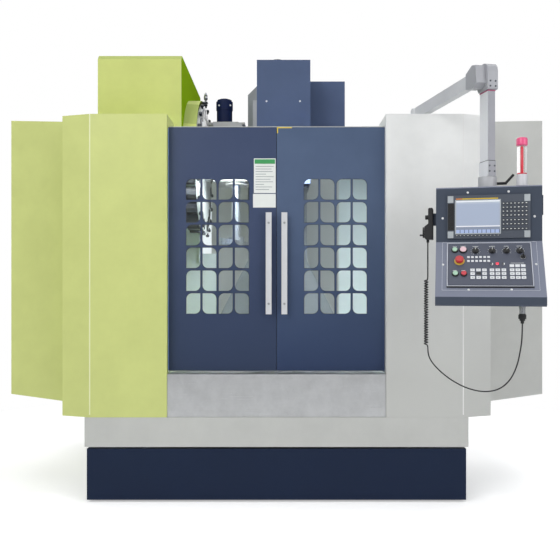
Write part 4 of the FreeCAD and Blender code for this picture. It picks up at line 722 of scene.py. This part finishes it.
shape("key_marks", key_marks, grey_ink, "panel", smooth=False)
block("key_centre", (-0.0592, -0.2045, 0.0108), (-0.0388, -0.1895, 0.0113), black_ink, "panel", 0.0005, slope)
toggle_red = fine("lit_red", "#E0364C", 0.3,
                  Emission_Color=(0.75, 0.03, 0.06, 1), Emission_Strength=0.6)


def toggle_tips(bm):
    for u in (0.012, 0.065):
        add_box(bm, (u - 0.0055, -0.1475, 0.0126), (u + 0.0005, -0.1365, 0.0140), slope)


shape("toggle_tips", toggle_tips, black_plastic, "panel", 0.0006)
block("toggle_lit", (0.030, -0.1485, 0.0126), (0.044, -0.1355, 0.0150), toggle_red, "panel", 0.001, slope)


# ---------------------------------------------------------------- push buttons and switches
# Coloured caps in black bezels. The red mushroom stands in a yellow ring, the key in a steel
# collar, and each rotary switch has a white pointer line.

cap_green = fine("cap_green", "#A9CDB4", 0.25, depth=0.00002)
cap_pink = fine("cap_pink", "#E8C4CC", 0.25, depth=0.00002)
cap_red = fine("cap_red", "#CF4450", 0.25, depth=0.00002)
mushroom_red = finish("mushroom_red", "#C2383C", 0.3, grain=1200, depth=0.00003, wear=0.05)
yellow_ring = finish("yellow_ring", "#DDB84A", 0.45, grain=1200, depth=0.00003, wear=0.05)
dress(cap_green, "push_button_1", "push_button_3")
dress(cap_pink, "push_button_2")
dress(cap_red, "push_button_4")
dress(mushroom_red, "emergency_stop")


PLATE_TOP = 0.0078


def add_ring(bm, u, down, inner, outer, high):
    """Adds a flat ring on the operator plate."""
    sides = 40
    rings = []
    for radius, z in ((inner, PLATE_TOP), (outer, PLATE_TOP), (outer, high - 0.001),
                      (outer - 0.001, high), (inner, high)):
        rings.append([bm.verts.new(slope @ Vector((u + radius * math.cos(2 * math.pi * i / sides),
                                                   -down + radius * math.sin(2 * math.pi * i / sides), z)))
                      for i in range(sides)])
    join_rings(bm, rings + rings[:1])


def bezels(bm):
    for u, down, radius in ((-0.157, 0.057, 0.014), (-0.118, 0.057, 0.017), (-0.155, 0.197, 0.014),
                            (-0.116, 0.197, 0.014)):
        add_ring(bm, u, down, radius - 0.0015, radius, 0.0150)
        add_ring(bm, u, down, radius - 0.0015, radius + 0.0022, 0.0112)


shape("button_bezels", bezels, black_plastic, "panel")
shape("stop_ring", lambda bm: add_ring(bm, -0.136, 0.122, 0.0090, 0.0240, 0.0112), yellow_ring, "panel")
shape("lock_collar", lambda bm: add_ring(bm, 0.154, 0.100, 0.0113, 0.0135, 0.0110), screw_steel, "panel")


def knob_line(u, down, turned, name):
    """White pointer line on a rotary switch."""
    place = slope @ Matrix.Translation((u, -down, 0)) @ Matrix.Rotation(math.radians(turned), 4, "Z")
    block(name + "_line", (-0.0009, -0.002, 0.0248), (0.0009, 0.0125, 0.0253), paper, name + "_body", 0,
          place)


for number, (u, down, turned) in enumerate(((-0.061, 0.063, 0), (0.016, 0.064, 0), (0.081, 0.065, -45),
                                            (0.141, 0.065, -40)), 1):
    knob_line(u, down, turned, f"rotary_switch_{number}")


# ---------------------------------------------------------------- head_cover, changer_motor
# Navy sheet covers with white screws down both edges of the access plate and at the top of
# the fan cover.

def access_screws(bm):
    for x in (-0.0685, 0.1510):
        for z in (1.968, 2.200, 2.439):
            add_cap_screw(bm, (x, -0.1025, z), (0, -1, 0), 0.0062, 0.003)


shape("access_screws", access_screws, white_screw, "head")


def fan_screws(bm):
    for x in (-0.399, -0.3206):
        add_cap_screw(bm, (x, 0.1285, 2.469), (0, -1, 0), 0.006, 0.004)


shape("fan_screws", fan_screws, white_screw, "machine")


# ---------------------------------------------------------------- magazine_hood
# Lime hood over the tool magazine, with painted shade: deeper green on the side that looks to the
# head and a duller slope at its top edge. A pale lining inside.

hood_coat = finish("hood_coat", "#CDD584", 0.6, grain=900, depth=0.00006, wear=0.12, edge="#E6E9C8",
                   Specular_IOR_Level=0.0)
# Painted shade: the side that looks to the head and the sloping top edge get darker colours, as they are in
# shade.
hood_painted_shade = facing("hood_painted_shade", hood_coat, [((1, 0, 0), "#87AA1C"), ((0, -0.7071, 0.7071), "#B0BB72")])
dress(recoloured("hood_and_lining", hood_painted_shade, [((-1.3, -0.6, 1.35), (-0.45, 1.2, 2.14), "#D3DCDB", 0.0)]),
      "magazine_hood")


# ---------------------------------------------------------------- arm_elbow, arm_post
# Pale grey arm: dark screws on the elbow and the clamp block, seals where parts meet.

arm = POST_AXIS @ Matrix.Rotation(math.radians(11.5), 4, "Z")
dark_screw = finish("dark_screw", "#43464B", 0.35, 0.8, grain=2500, depth=0.00002, wear=0.0)


def elbow_screws(bm):
    for x in (-0.0135, 0.0135):
        for z in (2.218, 2.243):
            add_cap_screw(bm, (x, -0.0560, z), (0, -1, 0), 0.0045, 0.0022, arm)
        for z in (1.8026, 1.8295):
            add_cap_screw(bm, (x, -0.0470, z), (0, -1, 0), 0.0045, 0.0022, arm)


shape("arm_screws", elbow_screws, dark_screw, "swing_arm")
# Painted light on the post: its front face darker and its left face lighter, as light falls on them.
dress(facing("arm_painted_light", aluminium, [(axis_of(arm, (0, -1, 0)), "#93949B"),
                                      (axis_of(arm, (-1, 0, 0)), "#F0F1F4")]), "arm_post")
dress(finish("elbow_casting", "#ABACB1", 0.45, 0.1, grain=1400, depth=0.00003, wear=0.3, edge="#DADBDE"),
      "arm_elbow")
seal_red = fine("seal_red", "#B04A72", 0.5, depth=0.00002)
block("post_seal", (-0.0205, -0.0435, 2.197), (0.0205, 0.0435, 2.2028), seal_red, "swing_arm", 0.001, arm)
block("post_trim", (-0.0205, -0.0435, 1.8535), (0.0205, 0.0435, 1.8575), gasket_rubber, "swing_arm", 0.001,
      arm)


# ---------------------------------------------------------------- signal_lamp
# Turned lamp: pale base, clear ribbed lens round a red core, and a bright pink-red cap.

def add_turned(bm, outline, matrix, sides=40):
    """Adds a turned form from its half outline of (radius, height) points, closed on its axis."""
    rings = []
    for radius, z in outline:
        if radius == 0:
            rings.append([bm.verts.new(matrix @ Vector((0, 0, z)))])
            continue
        rings.append([bm.verts.new(matrix @ Vector((radius * math.cos(2 * math.pi * i / sides),
                                                    radius * math.sin(2 * math.pi * i / sides), z)))
                      for i in range(sides)])
    for first, second in zip(rings, rings[1:]):
        for i in range(sides):
            j = (i + 1) % sides
            if len(first) == 1:
                bm.faces.new((first[0], second[j], second[i]))
            elif len(second) == 1:
                bm.faces.new((first[i], first[j], second[0]))
            else:
                bm.faces.new((first[i], first[j], second[j], second[i]))


lamp_spot = panel @ Matrix.Translation((0.160, -0.034, 1.722))
lamp_base = fine("lamp_base", "#D8D8DC", 0.4, depth=0.00003)
lamp_red = fine("lamp_red", "#C21F34", 0.25, depth=0.00002,
                Emission_Color=(0.6, 0.02, 0.05, 1), Emission_Strength=0.15)
lamp_cap = fine("lamp_cap", "#F2608F", 0.2, depth=0.00002)
lens_clear, tree, shader = new_material("lens_clear")
shader.inputs["Base Color"].default_value = (1.0, 0.97, 0.98, 1)
shader.inputs["Roughness"].default_value = 0.08
shader.inputs["Transmission Weight"].default_value = 1.0
shader.inputs["IOR"].default_value = 1.2
lens = [(0.0235, 0.0590)]
for rib in range(22):
    z = 0.060 + rib * 0.0063
    lens += [(0.0235, z), (0.0228, z + 0.0032)]
lens += [(0.0235, 0.2000)]
FOOT = [(0, 0), (0.030, 0), (0.030, 0.008), (0.026, 0.012), (0.026, 0.058), (0.0238, 0.060), (0, 0.060)]
CORE = [(0, 0.060), (0.0205, 0.060), (0.0205, 0.066), (0.0062, 0.068), (0.0062, 0.192), (0, 0.199)]
TOP = [(0, 0.2002), (0.0262, 0.2002), (0.0265, 0.203), (0.0265, 0.230), (0.0235, 0.2365), (0.017, 0.239),
       (0, 0.239)]


def turned_piece(name, outline, material):
    """One turned piece of the lamp."""
    return shape(name, lambda bm: add_turned(bm, outline, lamp_spot), material, "panel")


foot = turned_piece("lamp_foot", FOOT, lamp_base)
turned_piece("lamp_lens", lens, lens_clear)
turned_piece("lamp_core", CORE, lamp_red)
turned_piece("lamp_top", TOP, lamp_cap)
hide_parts("signal_lamp")


# ---------------------------------------------------------------- pendant
# Black moulded hand pendant: a ring of white marks round the wheel and an arc of them at
# the knob.

LEAD_U, LEAD_V = -0.2886, -0.038


def pendant_marks(bm):
    for i in range(20):
        angle = 2 * math.pi * i / 20
        spot = Matrix.Translation((-0.3044, LEAD_V, 1.506)) @ Matrix.Rotation(angle, 4, "X")
        add_box(bm, (-0.0005, 0.0275, -0.0006), (0, 0.0305, 0.0006), panel @ spot)
    for i in range(7):
        angle = math.radians(-60 + 20 * i)
        spot = Matrix.Translation((-0.2862, LEAD_V, 1.582)) @ Matrix.Rotation(angle, 4, "X")
        add_box(bm, (-0.0005, -0.0006, 0.0125), (0, 0.0006, 0.0160), panel @ spot)


shape("pendant_marks", pendant_marks, paper, "panel", smooth=False)


# ---------------------------------------------------------------- castings and drives
# Enamelled castings with bare ground ways; black servo motors at the ends of bright screws.

STEEL, MOTOR = "#A9ACB0", "#1E2023"
for name, label, coat, low, high in (
        ("machine_bed", "bed_finish", plinth_enamel, (-0.46, -0.46, 0.5202), (0.46, 0.56, 0.60)),
        ("saddle", "saddle_finish", cast_enamel, (-0.82, -0.17, 0.7003), (0.82, 0.27, 0.76)),
        ("table", "table_finish", cast_enamel, (-0.63, -0.24, 0.826), (0.63, 0.34, 0.87)),
        ("column", "column_finish", cast_enamel, (-0.23, 0.60, 1.13), (0.23, 0.6997, 2.66))):
    dress(recoloured(label, coat, [(low, high, STEEL, 1.0)]), name)
dress(recoloured("x_drive_finish", ground_steel, [((0.8101, -0.1, 0.6), (1.1, 0.2, 0.8), MOTOR, 0.0)]),
      "x_drive")
dress(recoloured("yz_drive_finish", ground_steel,
                 [((-0.1, 0.6001, 0.45), (0.1, 0.85, 0.65), MOTOR, 0.0),
                  ((-0.1, 0.55, 2.7781), (0.1, 0.8, 3.0), MOTOR, 0.0)]), "yz_drives")


# ---------------------------------------------------------------- electrical_cabinet, cabinet_door
# Pressed louvres low and high on the door and high on both sides, and a filter grille beside
# the upper ones.

def louvre(bm, place, turned, wide):
    """Adds one pressed louvre: a sloping hood over its slot."""
    matrix = Matrix.Translation(place) @ Matrix.Rotation(turned, 4, "Z")
    add_box(bm, (-wide / 2, -0.0002, -0.004), (wide / 2, 0.0040, 0.0035),
            matrix @ Matrix.Rotation(math.radians(-14), 4, "X"))


LOWER_ROW, UPPER_ROW, ROW_PITCH, ROWS = 0.56, 1.93, 0.022, 9


def door_louvres(bm):
    for step in range(ROWS):
        for low in (LOWER_ROW, UPPER_ROW):
            louvre(bm, (0, 1.5303, low + ROW_PITCH * step), 0, 0.36)


def side_louvres(bm):
    for step in range(ROWS):
        louvre(bm, (0.5603, 1.385, UPPER_ROW + ROW_PITCH * step), -math.pi / 2, 0.16)
        louvre(bm, (-0.5603, 1.385, UPPER_ROW + ROW_PITCH * step), math.pi / 2, 0.16)


def filter_grille(bm):
    for low, high in (((0.255, 1.96), (0.415, 1.968)), ((0.255, 2.112), (0.415, 2.120)),
                      ((0.255, 1.96), (0.263, 2.12)), ((0.407, 1.96), (0.415, 2.12))):
        add_box(bm, (low[0], 1.5302, low[1]), (high[0], 1.5352, high[1]))
    for step in range(9):
        add_box(bm, (0.262, 1.5302, 1.974 + 0.0155 * step), (0.408, 1.5342, 1.982 + 0.0155 * step))


shape("door_louvres", door_louvres, grey_coat, "rear_door", 0.0006)
shape("side_louvres", side_louvres, grey_coat, "machine", 0.0006)
shape("filter_grille", filter_grille, black_plastic, "rear_door", 0.0006)


# ---------------------------------------------------------------- coolant_tank
# Stainless tank with a black pump motor, a sight glass, two grips and the lid's screws.

dress(recoloured("tank_finish", stainless, [((0.58, 1.29, 0.335), (0.73, 1.46, 0.60), MOTOR, 0.0)]),
      "coolant_tank")


def tank_fittings(bm):
    for x in (-0.62, 0.30):
        add_box(bm, (x, 1.5062, 0.228), (x + 0.012, 1.5242, 0.240))
        add_box(bm, (x + 0.108, 1.5062, 0.228), (x + 0.120, 1.5242, 0.240))
        add_rod(bm, (x, 1.5242, 0.234), (x + 0.120, 1.5242, 0.234), 0.006)
    for z in (0.070, 0.200):
        add_box(bm, (-0.112, 1.5062, z), (-0.088, 1.5202, z + 0.022))
    for x in (0.534, 0.776):
        for y in (1.290, 1.492):
            add_cap_screw(bm, (x, y, 0.3079), (0, 0, 1), 0.006, 0.003)


shape("tank_fittings", tank_fittings, screw_steel, "machine", 0.0008)
shape("sight_glass", lambda bm: add_rod(bm, (-0.100, 1.5150, 0.088), (-0.100, 1.5150, 0.204), 0.004),
      fine("sight_fluid", "#9DC4CF", 0.15), "machine")


# ---------------------------------------------------------------- magazine_disc
# Pale disc with dark pots round it, a roller at each pot, and the counting sensor that
# stands on the guard above.

DISC_X, DISC_Y, DISC_Z, POT_CIRCLE = -0.4925, 0.150, 2.020, 0.385
POT_ANGLES = [math.radians(270 - 15 * number) for number in range(1, 24)]
disc_coat = finish("disc_coat", "#D3D5D2", 0.4, grain=900, depth=0.00005, wear=0.15)
tree = disc_coat.node_tree
coords = node(tree, "TexCoord").outputs["Object"]
flat = vectors(tree, "MULTIPLY", coords, (0, 1, 1))
beyond = maths(tree, "GREATER_THAN", vectors(tree, "DISTANCE", flat, (0, DISC_Y, DISC_Z)), 0.352)
behind = maths(tree, "LESS_THAN", node(tree, "SeparateXYZ", {0: coords}).outputs[0], -0.5122)
mix = blend(tree, maths(tree, "MULTIPLY", beyond, behind), tint("#D3D5D2"), tint("#26282B"))
group = next(n for n in tree.nodes if n.type == "GROUP")
tree.links.new(mix, group.inputs["Colour"])
dress(disc_coat, "magazine_disc")


def pot_rollers(bm):
    centre = Vector((DISC_X, DISC_Y, DISC_Z))
    for angle in POT_ANGLES:
        along = Vector((0, math.cos(angle), math.sin(angle)))
        add_rod(bm, centre + along * 0.436, centre + along * 0.452, 0.007, sides=16)
        add_rod(bm, centre + along * 0.449, centre + along * 0.463, 0.0115, sides=24)


def pot_backs(bm):
    for angle in POT_ANGLES:
        place = Vector((-0.4941, DISC_Y + POT_CIRCLE * math.cos(angle),
                        DISC_Z + POT_CIRCLE * math.sin(angle)))
        add_rod(bm, place, place + Vector((0.004, 0, 0)), 0.036)


def counting_sensor(bm):
    add_box(bm, (-0.560, 0.120, 2.4902), (-0.478, 0.180, 2.4932))
    for low, high, radius, top_radius in ((2.4860, 2.5150, 0.008, 0.008), (2.5120, 2.5350, 0.0125, 0.0135),
                                          (2.5330, 2.5600, 0.0135, 0.0060)):
        add_rod(bm, (DISC_X, DISC_Y, low), (DISC_X, DISC_Y, high), radius, top_radius)


shape("pot_rollers", pot_rollers, dark_screw, "magazine")
shape("pot_backs", pot_backs, dark_screw, "magazine")
shape("counting_sensor", counting_sensor, screw_steel, "machine")


# ---------------------------------------------------------------- window panes
# Clear sheet with a faint blue-green body. The lamp inside the work space lights what
# shows behind it.

material, tree, shader = new_material("window_sheet")
shader.inputs["Base Color"].default_value = (0.86, 0.93, 0.95, 1)
shader.inputs["Roughness"].default_value = 0.03
shader.inputs["Transmission Weight"].default_value = 1.0
shader.inputs["IOR"].default_value = 1.3
dress(material, "window_pane_left", "window_pane_right")
area_light("work_lamp", (-0.15, -0.43, 2.03), (-0.15, -0.36, 0.9), 1.0, 0.34, 56)


# ---------------------------------------------------------------- cord_lead, curly_cord, cord_loop
# The pendant's lead: a straight end under the pendant, the curly cord, and the free lead
# that hangs in a bow below the console and rises to its plug.

CORD = 0.0064
cord_rubber = finish("cord_rubber", "#161618", 0.42, grain=2500, depth=0.00003, wear=0.0, dust=0.1)


def lead(name, points):
    """A cord's own smooth line through its route, given in the control panel's frame."""
    data = bpy.data.curves.new(name, "CURVE")
    data.dimensions = "3D"
    spline = data.splines.new("NURBS")
    spline.points.add(len(points) - 1)
    for point, place in zip(spline.points, points):
        point.co = (*(panel @ Vector(place)), 1)
    spline.order_u = 3
    spline.use_endpoint_u = True
    spline.resolution_u = 6
    data.bevel_depth = CORD / 2
    data.bevel_resolution = 3
    data.use_fill_caps = True
    obj = bpy.data.objects.new(name, data)
    bpy.context.collection.objects.link(obj)
    data.materials.append(cord_rubber)
    return obj


PLUG_U, PLUG_V = 0.1515, -0.150
upper = [(LEAD_U, LEAD_V, 1.456), (LEAD_U, LEAD_V, 1.375), (LEAD_U, LEAD_V, 1.290)]
CURLS, CURL_RADIUS = 26, 0.0084
top_z, low_z, bend = 1.290, 0.929, 0.014
first_z, last_z = top_z - CORD - bend, low_z + CORD + bend
pitch = (first_z - last_z) / (CURLS - 0.5)
per_turn = 16
grown = CURL_RADIUS / ((3 + math.cos(2 * math.pi / per_turn)) / 4)
helix = [(LEAD_U, LEAD_V, top_z), (LEAD_U, LEAD_V, top_z - CORD)]
for step in range(int(0.14 * per_turn), int((CURLS - 0.14) * per_turn) + 1):
    turn = step / per_turn
    helix.append((LEAD_U - CURL_RADIUS + grown * math.cos(2 * math.pi * turn),
                  LEAD_V + grown * math.sin(2 * math.pi * turn), first_z - pitch * turn))
helix += [(LEAD_U, LEAD_V, low_z + CORD), (LEAD_U, LEAD_V, low_z)]
LOOP = [(LEAD_U, 0.929), (LEAD_U, 0.897), (-0.270, 0.856), (-0.221, 0.807), (-0.160, 0.765),
        (-0.092, 0.736), (-0.018, 0.726), (0.049, 0.743), (0.098, 0.790), (0.128, 0.858),
        (0.143, 0.932), (PLUG_U, 1.000), (PLUG_U, 1.063)]
bow = []
for u, z in LOOP:
    share = min(max((u - LEAD_U) / (PLUG_U - LEAD_U), 0), 1)
    bow.append((u, LEAD_V + (PLUG_V - LEAD_V) * share, z))
for name, points, length, lay, far in (("cord_lead", upper, 0.166, "hanging", "object"),
                                       ("curly_cord", helix, 1.41, "hanging", "object"),
                                       ("cord_loop", bow, 0.793, "hanging", "plug")):
    strand = lead(name + "_sheath", points)
    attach(strand, "panel")
    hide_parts(name)
